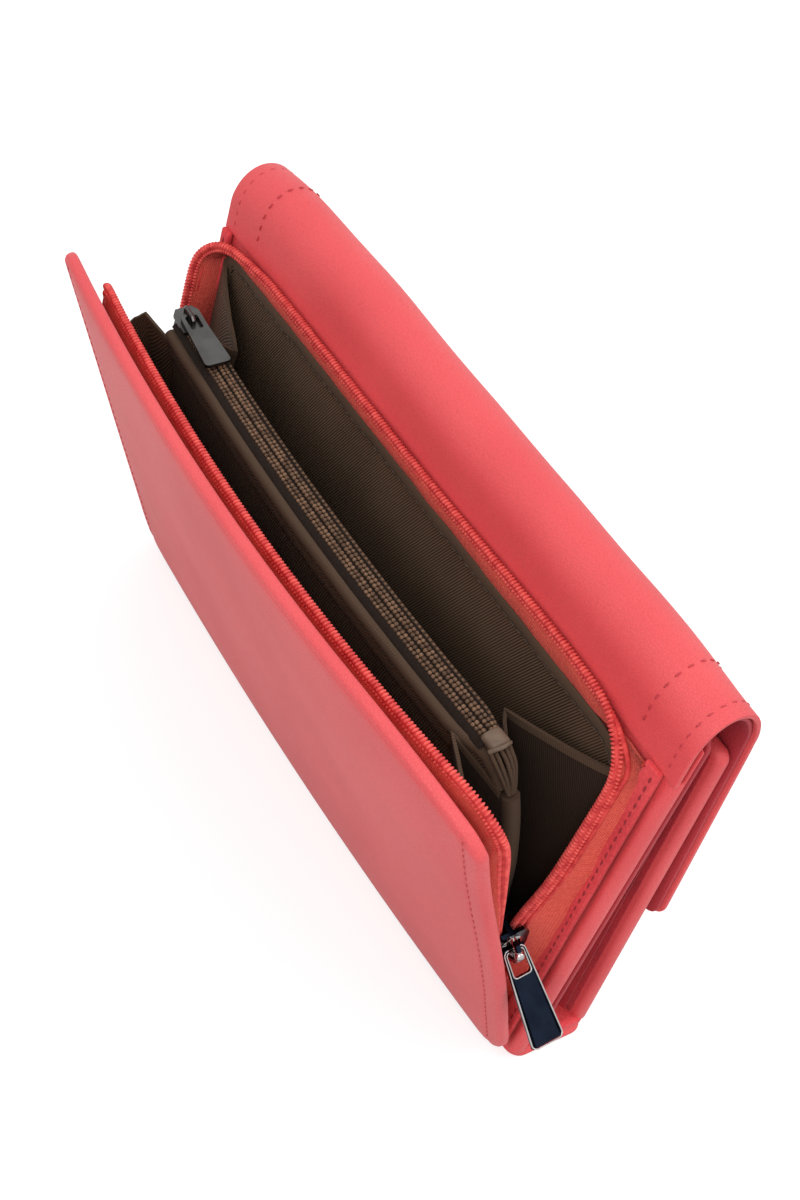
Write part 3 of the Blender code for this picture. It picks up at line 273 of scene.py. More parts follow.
def sheet(name, columns, rows, place, size, thickness, offset=0.0, rounding=0.0, even_offset=True):
    """Cloth or thin leather: a grid put in place by place(u, v). size is its weave's width and length."""
    piece = start(name, bpy.ops.mesh.primitive_grid_add, x_subdivisions=columns, y_subdivisions=rows, size=1)
    mesh = piece.data
    spots = [(vertex.co.x + 0.5, vertex.co.y + 0.5) for vertex in mesh.vertices]
    lay_weave(mesh, lambda index: (spots[index][0] * size[0], spots[index][1] * size[1]))
    for vertex, (u, v) in zip(mesh.vertices, spots):
        vertex.co = place(u, v)
    mesh.update()
    area = sum(face.area for face in mesh.polygons)
    modify(piece, "SOLIDIFY", thickness=thickness, offset=offset, use_even_offset=even_offset)
    if rounding:
        round_edges(piece, rounding, 2, 60)
    smooth(piece)
    piece["flat_area"] = area
    return piece


def tube(name, points, radius, steps=3):
    """A round wire or cord through points, as a closed mesh."""
    curve = bpy.data.curves.new(name, "CURVE")
    curve.dimensions = "3D"
    curve.bevel_depth = radius
    curve.bevel_resolution = steps
    curve.use_fill_caps = True
    spline = curve.splines.new("POLY")
    spline.points.add(len(points) - 1)
    for point, place in zip(spline.points, points):
        point.co = (*place, 1)
    activate(link(name, curve))
    bpy.ops.object.convert(target="MESH")
    piece = bpy.context.object
    clean(piece)
    return smooth(piece)


def ball(name, radii, place=(0, 0, 0), segments=8, rings=6):
    """An ellipsoid with three radii."""
    return start(name, bpy.ops.mesh.primitive_uv_sphere_add, place, radii, segments=segments,
                 ring_count=rings, radius=1)


def join(name, pieces):
    """Joins pieces to one."""
    bpy.ops.object.select_all(action="DESELECT")
    for piece in pieces:
        piece.select_set(True)
    bpy.context.view_layer.objects.active = pieces[0]
    bpy.ops.object.join()
    pieces[0].name = pieces[0].data.name = name
    return pieces[0]


def tooth(name, beads):
    """A moulded tooth of beads side by side, each given as its y and its radii."""
    return join(name, [ball(name, radii, (0, y, 0)) for y, radii in beads])


def repeat(name, unit, places):
    """Copies of one small shape, placed by matrices and joined to one piece."""
    copies = []
    for place in places:
        mesh = unit.data.copy()
        mesh.transform(place)
        copies.append(link(name, mesh))
    bpy.data.objects.remove(unit)
    return join(name, copies)


def placed(point, x, y, z):
    """A matrix at a point with three directions as its axes."""
    return Matrix.Translation(point) @ Matrix((x, y, z)).transposed().to_4x4()


def frame_at(point, along, normal):
    """A matrix at a point with X along a direction and Z along a normal."""
    x = along.normalized()
    y = normal.cross(x).normalized()
    return placed(point, x, y, x.cross(y))


def even(points, count):
    """The same line through evenly spaced points."""
    lengths = [0.0]
    for first, second in zip(points, points[1:]):
        lengths.append(lengths[-1] + (Vector(second) - Vector(first)).length)
    found, index = [], 0
    for step in range(count):
        target = lengths[-1] * step / (count - 1)
        while index < len(points) - 2 and lengths[index + 1] < target:
            index += 1
        stretch = lengths[index + 1] - lengths[index]
        share = (target - lengths[index]) / stretch if stretch else 0
        found.append(Vector(points[index]).lerp(Vector(points[index + 1]), share))
    return found


def along_line(points, index):
    """The direction of a line at one of its points."""
    return points[min(index + 1, len(points) - 1)] - points[max(index - 1, 0)]


def length_of(points):
    """The length of a line through points."""
    return sum((Vector(second) - Vector(first)).length for first, second in zip(points, points[1:]))


def line_frames(points, normals, pitch):
    """Frames at an even pitch along a line, with the normals of its points."""
    count = max(int(length_of(points) / pitch), 2)
    places = even(points, count)
    if isinstance(normals, Vector):
        ups = [normals] * count
    else:
        last = len(normals) - 1
        ups = [normals[round(index * last / (count - 1))] for index in range(count)]
    return [frame_at(point, along_line(places, index), ups[index]) for index, point in enumerate(places)]


def stitches(name, lines, pitch=0.0032, length=0.0024, width=0.00055):
    """Rows of short, slightly slanted stitches along lines of (points, normals)."""
    unit = ball(name, (length / 2, width / 2, width / 2.6))
    slanted = Matrix.Rotation(math.radians(4), 4, "Z")
    places = [place @ slanted for points, normals in lines for place in line_frames(points, normals, pitch)]
    return smooth(repeat(name, unit, places), SMALL_ANGLE)


def arc(centre, radius, first, last, steps):
    """Points on an arc in a plane, angles in degrees."""
    angles = [math.radians(angle) for angle in run(first, last, steps)]
    return [(centre[0] + radius * math.cos(angle), centre[1] + radius * math.sin(angle)) for angle in angles]


def arch(half, top, corner, foot):
    """An upside-down U in the XZ plane, from its right foot to its left foot."""
    right = [(half, foot)] + arc((half - corner, top - corner), corner, 0, 90, 10)
    return right + [(-x, z) for x, z in reversed(right)]


def lopsided(right, left, top, right_corner, left_corner):
    """An arch with its own half and corner on each side."""
    first = arch(right, top, right_corner, 0.02)
    second = arch(left, top, left_corner, 0.02)
    middle = len(first) // 2
    return first[:middle] + second[middle:]


# Materials


def srgb(red, green, blue):
    """A colour from 0 to 255 as on a screen, in a shader's linear values."""
    linear = []
    for value in (red, green, blue):
        share = value / 255
        linear.append(share / 12.92 if share <= 0.04045 else ((share + 0.055) / 1.055) ** 2.4)
    return (*linear, 1.0)


class Reading:
    """A value in a material's nodes, on which sums and products are written."""

    def __init__(self, finish, socket):
        self.finish, self.socket = finish, socket

    def maths(self, operation, *values):
        return self.finish.node("ShaderNodeMath", {"operation": operation}, dict(enumerate(values)))

    def __add__(self, other):
        return self.maths("ADD", self, other)

    def __sub__(self, other):
        return self.maths("SUBTRACT", self, other)

    def __rsub__(self, other):
        return self.maths("SUBTRACT", other, self)

    def __mul__(self, other):
        return self.maths("MULTIPLY", self, other)

    __radd__, __rmul__ = __add__, __mul__

    def sine(self):
        return self.maths("SINE", self)

    def rise(self, low, high):
        """0 below low, 1 above high and smooth between them."""
        return self.finish.node("ShaderNodeMapRange", {"interpolation_type": "SMOOTHSTEP"},
                                {"Value": self, "From Min": low, "From Max": high})


class Finish:
    """A material of nodes round one Principled shader."""

    def __init__(self, name, **constants):
        self.material = bpy.data.materials.new(name)
        self.material.use_nodes = True
        self.tree = self.material.node_tree
        self.shader = self.tree.nodes["Principled BSDF"]
        self.feed({key.replace("_", " "): value for key, value in constants.items()})

    def feed(self, values, node=None):
        """Links or sets the sockets of a node, or of the shader."""
        for key, value in values.items():
            socket = (node or self.shader).inputs[key]
            if isinstance(value, Reading):
                self.tree.links.new(value.socket, socket)
            else:
                socket.default_value = value

    def node(self, kind, settings, values, output=0):
        made = self.tree.nodes.new(kind)
        for name, value in settings.items():
            setattr(made, name, value)
        self.feed(values, made)
        return Reading(self, made.outputs[output])

    def place(self, source="Object", scale=(1, 1, 1), turn=0.0):
        """Object coordinates or the weave's UV map, scaled and turned."""
        spot = self.node("ShaderNodeTexCoord", {}, {}, source)
        return self.node("ShaderNodeMapping", {}, {"Vector": spot, "Scale": scale, "Rotation": (0, 0, turn)})

    def axis(self, place, name):
        return self.node("ShaderNodeSeparateXYZ", {}, {"Vector": place}, name)

    def speckle(self, place, scale, detail=2.0):
        return self.node("ShaderNodeTexNoise", {}, {"Vector": place, "Scale": scale, "Detail": detail})

    def mix(self, share, first, second):
        return self.node("ShaderNodeMix", {"data_type": "RGBA"}, {0: share, 6: first, 7: second}, 2)

    def bump(self, height, distance, strength=1.0):
        self.feed({"Normal": self.node("ShaderNodeBump", {}, {"Height": height, "Distance": distance,
                                                              "Strength": strength})})


def leather(name, light, dark, roughness=0.44, sheen=0.06):
    """Smooth dyed leather with a fine pebbled grain."""
    grain, depth = 0.0007, 0.00005
    finish = Finish(name, Specular_IOR_Level=0.5, Sheen_Weight=sheen, Sheen_Roughness=0.4)
    place = finish.place()
    swell = finish.speckle(place, 22, 3)
    pebbles = finish.node("ShaderNodeTexVoronoi", {"feature": "DISTANCE_TO_EDGE"},
                          {"Vector": place, "Scale": 1 / grain})
    valleys = 1 - pebbles.rise(0.0, 0.16)
    pores = finish.speckle(place, 2600)
    tone = finish.mix(swell.rise(0.25, 0.85), light, dark)
    deep = tuple(value * 0.72 for value in dark[:3]) + (1.0,)
    finish.feed({"Base Color": finish.mix(valleys * 0.3, tone, deep),
                 "Roughness": roughness + 0.1 * swell + valleys * 0.08})
    finish.bump(pores * 0.25 - valleys * 0.6 + swell * 2.0, depth)
    return finish.material


def suede(name, light, dark):
    """The napped flesh side of leather."""
    finish = Finish(name, Roughness=0.92, Sheen_Weight=0.12, Sheen_Roughness=0.5, Specular_IOR_Level=0.2)
    place = finish.place()
    nap = finish.speckle(place, 1400, 4)
    patches = finish.speckle(place, 60, 3)
    share = nap.rise(0.3, 0.7) * 0.6 + patches.rise(0.4, 0.7) * 0.4
    finish.feed({"Base Color": finish.mix(share, light, dark)})
    finish.bump(nap, 0.00012, 0.8)
    return finish.material


def twill(name, light, dark, pitch=0.00064, turn=0.49, depth=0.00009):
    """Diagonal ribs of twill cloth on the weave's UV map, with painted shade that darkens it towards the
    bottom.
    """
    finish = Finish(name, Sheen_Weight=0.03, Sheen_Roughness=0.45, Specular_IOR_Level=0.16)
    place = finish.place("UV", turn=turn)
    across, along = finish.axis(place, "X"), finish.axis(place, "Y")
    slub = finish.speckle(place, 500)
    ribs = (across * (2 * math.pi / pitch) + slub * 0.8).sine() * 0.5 + 0.5
    threads = (along * (2 * math.pi / (pitch * 0.9))).sine() * 0.5 + 0.5
    weave = ribs * 0.85 + threads * 0.15 * ribs
    wash = finish.speckle(place, 35)
    # Painted shade: the cloth's colour darkens towards the bottom of the wallet, standing in for the shade
    # deep inside it
    height = finish.axis(finish.place(), "Z").rise(0.015, 0.098)
    twill_tone_with_painted_shade = (weave * 0.72 + 0.08 + (wash - 0.5) * 0.4) * (height * 0.8 + 0.2)
    finish.feed({"Base Color": finish.mix(twill_tone_with_painted_shade, dark, light), "Roughness": 0.78 - weave * 0.16})
    finish.bump(weave, depth)
    return finish.material


def tape(name, light, dark):
    """Woven zip tape: fine cross ribs of two-toned threads on the weave's UV map."""
    pitch = 0.00055
    finish = Finish(name, Sheen_Weight=0.03, Sheen_Roughness=0.4, Specular_IOR_Level=0.15)
    place = finish.place("UV")
    across, along = finish.axis(place, "X"), finish.axis(place, "Y")
    slub = finish.speckle(place, 1200)
    warp = (across * (2 * math.pi / pitch)).sine()
    weft = (along * (2 * math.pi / (pitch * 0.8)) + warp * 1.6).sine()
    weave = weft * 0.35 + warp * 0.15 + 0.5
    mixed = weave * 0.85 + slub.rise(0.35, 0.65) * 0.22
    finish.feed({"Base Color": finish.mix(mixed, dark, light), "Roughness": 0.8 - weave * 0.2})
    finish.bump(weave + slub * 0.15, 0.00014)
    return finish.material


def plastic(name, light, dark, roughness):
    """Moulded coil teeth."""
    finish = Finish(name, Specular_IOR_Level=0.3)
    cloud = finish.speckle(finish.place(), 500)
    finish.feed({"Base Color": finish.mix(cloud.rise(0.35, 0.65), light, dark),
                 "Roughness": roughness + 0.15 * cloud})
    finish.bump(cloud, 0.00004)
    return finish.material


def thread(name, light, dark):
    """Twisted sewing thread."""
    finish = Finish(name, Roughness=0.55)
    cloud = finish.speckle(finish.place(), 3000)
    finish.feed({"Base Color": finish.mix(cloud.rise(0.35, 0.65), light, dark)})
    finish.bump(cloud, 0.00006)
    return finish.material


def metal(name, light, dark, roughness):
    """Plated metal with a faint cloud and fine rubs."""
    finish = Finish(name, Metallic=1.0)
    cloud = finish.speckle(finish.place(), 180, 3)
    rubs = finish.speckle(finish.place(scale=(1, 1, 9), turn=0.6), 900)
    finish.feed({"Base Color": finish.mix(cloud.rise(0.3, 0.7), light, dark),
                 "Roughness": roughness + 0.04 * cloud + rubs.rise(0.58, 0.75) * 0.08})
    finish.bump(rubs * 0.3 + cloud, 0.00001)
    return finish.material


CORAL = leather("coral_leather", srgb(228, 82, 85), srgb(214, 68, 73))
CORAL_PANEL = leather("coral_panel_leather", srgb(226, 84, 87), srgb(212, 70, 75), 0.46, sheen=0.12)
CORAL_INNER = leather("coral_inner_leather", srgb(186, 48, 58), srgb(166, 36, 48), 0.55)
SUEDE = suede("coral_suede", srgb(184, 42, 52), srgb(146, 26, 37))
CORAL_TAPE = tape("coral_zip_tape", srgb(244, 112, 92), srgb(198, 52, 54))
CORAL_WELT = plastic("coral_zip_welt", srgb(214, 70, 66), srgb(186, 46, 48), 0.6)
CORAL_COIL = plastic("coral_zip_teeth", srgb(230, 94, 88), srgb(206, 68, 67), 0.45)
CORAL_EDGE = suede("coral_cut_edge", srgb(224, 76, 80), srgb(196, 52, 60))
CORAL_THREAD = thread("coral_thread", srgb(196, 58, 66), srgb(168, 40, 50))
PALE_THREAD = thread("pale_coral_thread", srgb(216, 88, 90), srgb(190, 66, 70))
RED_THREAD = thread("dark_red_thread", srgb(150, 36, 46), srgb(116, 24, 34))
# TWILL's dark colour is partly the ribs' own darker threads and partly painted shade for the cloth deep
# inside the wallet
TWILL = twill("brown_twill", srgb(120, 93, 72), srgb(20, 14, 10))
# A copy of the twill with finer ribs and a much darker tone, used only on the right gussets; the darker tone
# is painted shade for the wallet's shaded right end
SHADED_GUSSET_TWILL = twill("brown_gusset_twill_painted_shade", srgb(66, 49, 38), srgb(22, 14, 10), 0.00042, 0.2, 0.00003)
LIP_CLOTH = twill("brown_lip_cloth", srgb(88, 69, 54), srgb(70, 54, 42), 0.00042, 0.2, 0.00002)
BROWN_TAPE = tape("brown_zip_tape", srgb(46, 34, 26), srgb(20, 14, 11))
BROWN_COIL = plastic("brown_zip_teeth", srgb(124, 97, 75), srgb(84, 64, 49), 0.5)
BROWN_THREAD = thread("brown_thread", srgb(80, 64, 50), srgb(50, 39, 31))
STOP_METAL = plastic("bronze_clip", srgb(112, 95, 80), srgb(102, 86, 72), 0.42)
DARK_METAL = metal("gunmetal_plating", srgb(34, 41, 56), srgb(27, 33, 46), 0.07)
BRIGHT_METAL = metal("bright_edge_plating", srgb(206, 202, 200), srgb(180, 176, 174), 0.07)
GREY_METAL = metal("dark_grey_plating", srgb(100, 99, 97), srgb(86, 85, 83), 0.27)


SLOTS = {look.name: slot for slot, looks in (
    ("coral_leather", (CORAL, CORAL_PANEL, CORAL_INNER, CORAL_EDGE, CORAL_THREAD, PALE_THREAD, RED_THREAD)),
    ("coral_suede", (SUEDE,)), ("coral_tape", (CORAL_TAPE, CORAL_WELT)), ("coral_coil", (CORAL_COIL,)),
    ("brown_twill", (TWILL, SHADED_GUSSET_TWILL, LIP_CLOTH)), ("brown_tape", (BROWN_TAPE, BROWN_THREAD)),
    ("brown_coil", (BROWN_COIL, STOP_METAL)), ("gunmetal", (DARK_METAL, BRIGHT_METAL))) for look in looks}


def dress(piece, look, body, *nodes, slot=None):
    """Gives a piece its material and the body that it rides on, and hides the nodes that it stands for."""
    piece.data.materials.clear()
    piece.data.materials.append(look)
    slot or SLOTS[look.name]
    if body:
        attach(piece, body)
    if nodes:
        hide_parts(*nodes)
    return piece


def cloth(piece, length, rests_on):
    """Works out the width of a piece's flat area over a length and whether it is wider than 1 cm; the result
    is not used.
    """
    width = piece["flat_area"] / length
    width > 0.01


def crumple(piece):
    """Gives a piece its own copy of its mesh."""
    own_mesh(piece)


def turned_hem(name, outlines, place, width, thickness, look, body):
    """A turned hem between two outlines of (x, z). place(x, z, u) puts each point of it into the world."""
    steps = 180
    outer, inner = (even([(x, 0, z) for x, z in outline], steps + 1) for outline in outlines)

    def spot(u, v):
        point = outer[round(v * steps)].lerp(inner[round(v * steps)], u)
        return place(point.x, point.z, u)

    return dress(sheet(name, 3, steps, spot, (width, 0.36), thickness, rounding=HEM_ROUNDING), look, body)


# Base and rear wall


def make_base():
    """The base: a leather-covered board whose rear edge is bowed as the zip panel's foot is."""
    rear, front = WALL_FOOT, 0.0112

    def place(x, y, z):
        return Vector((x, y - 0.0025 * (1 - (x / HALF) ** 2) * (front - y) / (front - rear), z))

    piece = start_box("base_cover", (-HALF, rear, 0), (HALF, front, 0.0026))
    bevel_where(piece, 0.0038, 6, lambda ends: abs((ends[1] - ends[0]).z) > 0.001)
    round_edges(piece, 0.0011)
    cut_across(piece, SIDE, cuts(-HALF, HALF, 24))
    reshape(piece, place)
    dress(smooth(piece), CORAL, "shell", "base_leather")


def make_rear_wall():
    """The rear wall: padded leather with a thin upper tongue that lies inside the flap's crown."""
    thick, rim, tongue = 0.0044, 0.1105, 0.0101
    piece = start_box("rear_wall_cover", (-HALF, 0, 0.00295), (HALF, thick, rim))
    cut_across(piece, OUT, [0.0033])
    pick(piece, "polygons", lambda corners: all(corner.z > 0.11 and corner.y > 0.0032 for corner in corners))
    bpy.ops.mesh.extrude_region_move(TRANSFORM_OT_translate={"value": (0, 0, tongue)})
    leave()
    bevel_where(piece, 0.0021, 5, lambda ends: all(abs(end.x) > 0.0949 and end.y < 0.001 for end in ends)
                and abs(ends[0].z - ends[1].z) > 0.01)
    round_edges(piece, 0.0005, 2)
    roll = [sign * x for _, sign in ENDS for x in (0.0905, 0.0912, 0.0917, 0.0923)]
    cut_across(piece, SIDE, cuts(-HALF, HALF, 20) + roll)
    cut_across(piece, UP, cuts(0, 0.11, 22))

    def place(x, y, z):
        swell = ripple(x, z, 0.03, 0.0002, 3.0) if abs(x) < 0.093 and 0.006 < z < 0.108 else 0
        share = max(0, 1 - ((abs(x) - 0.0934) / 0.002) ** 2) * ramp(0.109 - z, 0, 0.008)
        roll = 0.0013 * share + ripple(z, x, 0.016, 0.0003, 17.0) * share
        slim = 0.42 * ramp(abs(x), 0.0895, 0.0035)
        return WALL.at(x, y * (1 - slim) + swell - roll * (1 - y / 0.0045), z)

    reshape(piece, place)
    dress(smooth(piece), CORAL, "shell", "rear_wall_leather", "rear_wall_board")


def make_wall_end(side, sign):
    """The stitched strip that holds the zip's tape on one end of the wall, and the base's fold."""
    inner, outer = (0.0866, 0.0914) if sign > 0 else (-0.0912, -0.0948)

    def place(x, y, z):
        wave = ripple(z, 0, 0.012, 0.0005, 19.0) * (1 - abs(x - inner) / 0.0048)
        return WALL.at(x + sign * wave, y + ripple(z, x, 0.014, 0.0002, 20.0), z)

    low, high = sorted((inner, outer))
    strip = slab("wall_edge_strip_" + side, (low, -0.002, 0.004), (high, -0.0005, 0.1104), (0, 0), 0.0005,
                 (4, 30), place)
    dress(strip, CORAL_EDGE, "shell")
    within = 0.0899 if sign > 0 else 0.093
    threads = [([WALL.at(sign * within, -0.0021, z) for z in run(0.006, 0.1075, 60)], WALL.turned(-OUT)),
               ([WALL.at(sign * 0.0912, 0.0055, z) for z in run(0.008, 0.106, 60)], SIDE * sign)]
    dress(stitches("wall_end_stitches_" + side, threads, 0.0028, 0.0018, 0.00045), RED_THREAD, "shell")
    low, high = sorted((sign * 0.087, sign * 0.0943))
    fold = slab("base_end_fold_" + side, (low, -0.005, 0.0022), (high, 0.01, 0.0058), (0, 0), 0.0014, (4, 3),
                lambda x, y, z: Vector((x, y, z + ripple(x, y, 0.006, 0.0008, 91.0) * (z > 0.004))))
    dress(fold, CORAL_EDGE, "shell")


def make_rear_lining():
    """The brown lining of the rear wall, with its turned and stitched hem."""

    def place(u, v):
        x, z = 0.174 * u - 0.0896, 0.1022 * v + 0.0032
        return WALL.at(x, -0.0007 + ripple(x, z, 0.022, 0.0004, 7.0) * min(v * 6, 1, (1 - v) * 8), z)

    def hem_place(x, z, u):
        wave = ripple(x + z, 0, 0.009, 0.0005, 11.0) * u
        return WALL.at(x, -0.0012 - 0.0003 * hump(u) + wave * 0.5, z + wave)

    piece = sheet("rear_wall_lining", 40, 26, place, (0.18, 0.101), LINING)
    dress(piece, TWILL, "shell", "rear_lining")
    outlines = (lopsided(0.0845, 0.0908, 0.1062, 0.012, 0.003),
                lopsided(0.0812, 0.0877, 0.1031, 0.009, 0.002))
    hem = turned_hem("rear_lining_hem", outlines, hem_place, 0.0031, 0.0006, LIP_CLOTH, "shell")
    seam = [WALL.at(x, -0.00195, z) for x, z in lopsided(0.082, 0.0884, 0.1038, 0.009, 0.0022)]
    dress(stitches("rear_hem_stitches", [(seam, WALL.turned(-OUT))], 0.0026, 0.0019, 0.00042), BROWN_THREAD,
          "shell")
    cloth(piece, 0.101, "rear_wall_cover")


# Zip panel

PANEL_HALF, PANEL_FOOT, PANEL_TOP = 0.0943, 0.00131, 0.12
PANEL_SEAM, PANEL_CREASE = 0.0893, PANEL_TOP - 0.0024


def drawn_in(x, z):
    """The x of a point on the panel, whose right end is drawn in towards its top."""
    return x * (1 - 0.048 * ease(z, 0.036, 0.07) * max(x, 0) / PANEL_HALF)


def rim_drop(x, z):
    """How far the panel's upper edge sinks towards its right end."""
    return 0.009 * ramp(x, 0.048, 0.044) ** 2 * ramp(z, 0.07, 0.05)


def make_zip_panel():
    """The bowed zip panel: padded leather with a crease under its top edge and stitching down both ends."""

    def place(x, y, z):
        edge = min(PANEL_HALF - abs(x), PANEL_TOP - z, z - PANEL_FOOT)
        puff = 0.0005 * (1 - math.exp(-max(edge, 0) / 0.006))
        crease = 0.00035 * math.exp(-((PANEL_CREASE - z) / 0.0005) ** 2)
        seam = 0.00022 * math.exp(-((abs(x) - PANEL_SEAM) / 0.0007) ** 2)
        swell = ripple(x, z, 0.035, 0.0004, 1.0) * min(edge / 0.01, 1)
        y += (crease + seam + swell - puff) * ramp(-y, 0, 0.003)
        return PANEL.at(drawn_in(x, z), y, z - rim_drop(x, z))

    seams = [sign * (PANEL_SEAM + step) for _, sign in ENDS for step in run(-0.0007, 0.0007, 2)]
    piece = slab("zip_panel_cover", (-PANEL_HALF, -0.003, PANEL_FOOT), (PANEL_HALF, 0, PANEL_TOP),
                 (0.012, 0.0065), 0.0012, (28, 18), place,
                 (seams, run(PANEL_CREASE - 0.001, PANEL_CREASE + 0.001, 4)))
    dress(piece, CORAL_PANEL, "zip_panel", "zip_panel_leather", "zip_panel_board")
    ends = [([PANEL.at(drawn_in(sign * PANEL_SEAM, z), -0.0033, z - rim_drop(sign * PANEL_SEAM, z))
              for z in run(0.009, 0.1165, 30)], PANEL.turned(-OUT)) for _, sign in ENDS]
    dress(stitches("zip_panel_stitches", ends, 0.0026, 0.0016, 0.00036), PALE_THREAD, "zip_panel")


def make_panel_lining():
    """The brown lining of the zip panel, with its turned hem."""

    def place(u, v):
        x, z = 0.169 * u - 0.0858, 0.0985 * v + 0.0052
        return PANEL.at(x, 0.0006 + ripple(x, z, 0.02, 0.0003, 5.0), z - rim_drop(x, z))

    def hem_place(x, z, u):
        return PANEL.at(x, 0.0014 + 0.0002 * hump(u), z - rim_drop(x, z))

    lining = sheet("zip_panel_lining_cloth", 40, 26, place, (0.173, 0.099), LINING)
    dress(lining, TWILL, "zip_panel", "zip_panel_lining")
    cloth(lining, 0.173, "zip_panel_cover")
    outlines = (lopsided(0.0832, 0.0852, 0.102, 0.012, 0.006),
                lopsided(0.079, 0.0808, 0.0975, 0.008, 0.004))
    turned_hem("panel_lining_hem", outlines, hem_place, 0.0048, 0.0005, TWILL, "zip_panel")


def make_compartment_foot():
    """The cloth that closes the zip compartment's foot, from the wall to the panel."""

    def place(u, v):
        x = 0.172 * v - 0.086
        return WALL.at(x, -0.0009, 0.0062).lerp(PANEL.at(x, 0.001, 0.0078), u) - UP * 0.0022 * hump(u)

    foot = sheet("compartment_foot_cloth", 8, 40, place, (0.006, 0.172), CLOTH)
    dress(foot, TWILL, None)
    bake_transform(foot)


# Main zip


def side_chain(sign):
    """One coil from the zip's foot up through the slider, in the world. sign is +1 for the wall's coil."""
    tail, nose = (CHAIN.at(0, sign * y, z) for y, z in ((0.00145, -0.00525), (0.00265, 0.00525)))
    return [Vector((0.081, -0.0162 + sign * 0.00145, 0.017)), tail, nose]


def full_run(right, left):
    """A smooth line from its right and left halves, which both run from the foot to the top's middle."""
    right, left = ([Vector(point) for point in half] for half in (right, left))
    counts = [12, 5, 6, 12] + [2] * (len(right) - 7) + [8, 26]
    first, second = ([low.lerp(high, index / count) for low, high, count in zip(half, half[1:], counts)
                      for index in range(count)] for half in (right, left))
    line = first + [right[-1]] + [Vector((-x, y, z)) for x, y, z in reversed(second)]
    for _ in range(10):
        middle = [(before + 2 * point + after) / 4 for before, point, after in zip(line, line[1:], line[2:])]
        line = [line[0]] + middle + [line[-1]]
    return line


def bend(centre, radius, ends):
    """A corner of a coil or seam, from its side to its top. ends are its y at both."""
    corner = arc(centre, radius, 0, 90, 12)
    return [(x, y, z) for (x, z), y in zip(corner, run(*ends, 12))]


def wall_lines():
    """The wall's coil and its seam as matching lines in the world. The left end springs outwards."""
    chain = [WALL.local(point) for point in side_chain(1)]
    right = chain + [(0.0862, -0.0102, 0.069)] + bend((0.0702, 0.098), 0.0145, (-0.0052, -0.0024))
    right += [(0.056, -0.002, 0.1128), (0, -0.0024, 0.1114)]
    left = chain + [(0.0915, -0.01, 0.069)] + bend((0.085, 0.0995), 0.01, (-0.008, -0.0032))
    left += [(0.07, -0.0024, 0.1114), (0, -0.0024, 0.1114)]
    seams, depth = [], -0.0008
    for half, top in ((0.089, 0.1085), (0.0915, 0.1056)):
        seam = [(half, depth, point.z) for point in chain] + [(half, depth, 0.069)]
        seam += bend((half - 0.003, top - 0.003), 0.003, (depth, depth))
        seams.append(seam + [(0.065, depth, 0.1056), (0, depth, 0.1056)])
    return [[WALL.at(*point) for point in full_run(*halves)] for halves in ((right, left), seams)]


def panel_lines():
    """The panel's coil and its seam as matching lines in the world."""
    chain = [PANEL.local(point) for point in side_chain(-1)]
    coil = chain + [(0.0862, 0.0036, 0.068)] + bend((0.0764, 0.1015), 0.012, (0.0042, 0.0036))
    coil += [(0.06, 0.0034, 0.1136), (0, 0.0032, 0.1136)]
    depth = 0.0006
    seam = [(point.x + reach, depth, point.z) for point, reach in zip(chain, (0.004, 0.0018, 0.0022))]
    seam += [(0.0875, depth, 0.068)] + bend((0.0775, 0.0975), 0.007, (depth, depth))
    seam += [(0.06, depth, 0.1045), (0, depth, 0.1045)]
    return [[PANEL.at(*point) for point in full_run(line, line)] for line in (coil, seam)]


def cord(name, points, radius, look, body):
    """A cord of woven material along a line, with the weave's UV map."""
    piece = tube(name, points, radius)
    spots = [vertex.co for vertex in piece.data.vertices]
    lay_weave(piece.data, lambda index: (spots[index].x + spots[index].y, spots[index].z))
    return dress(piece, look, body)


def zip_half(name, coil, seam, body):
    """Half of the main zip: its tape from the seam to the coil, the rolled edge, a welt and the teeth."""
    last = len(coil) - 1
    width = sum((first - second).length for first, second in zip(coil, seam)) / (last + 1)
    length = length_of(coil)
    faces = [along_line(coil, i).cross(coil[i] - seam[i]).normalized() for i in range(last + 1)]

    def place(u, v):
        index = round(v * last)
        return seam[index].lerp(coil[index], u) - faces[index] * (0.0005 * hump(u)
                                                                  + ripple(u * 0.01, v, 0.02, 0.0004))

    ribbon = sheet(name + "_tape", 10, last, place, (width, length), CLOTH)
    dress(ribbon, CORAL_TAPE, body)
    roll = cord(name + "_edge", coil, 0.00072, CORAL_WELT, body)
    middle = [edge + (foot - edge).normalized() * 0.0025 for edge, foot in zip(coil, seam)]
    welt = cord(name + "_welt", middle, 0.00058, CORAL_WELT, body)
    unit = tooth(name, ((0.0008, (0.00038, 0.0007, 0.001)), (-0.00072, (0.00038, 0.00068, 0.00096))))
    count = int(length / 0.00092)
    centres, frames = even(coil, count), []
    for index, (centre, foot) in enumerate(zip(centres, even(seam, count))):
        along = along_line(centres, index).normalized()
        inward = foot - centre
        inward = (inward - along * along.dot(inward)).normalized()
        frames.append(frame_at(centre + inward * 0.0001, along, along.cross(inward)))
    teeth = dress(smooth(repeat(name + "_teeth", unit, frames), SMALL_ANGLE), CORAL_COIL, body)
    cloth(ribbon, length, "rear_wall_cover" if body == "shell" else "zip_panel_cover")
    return [ribbon, roll, welt, teeth]


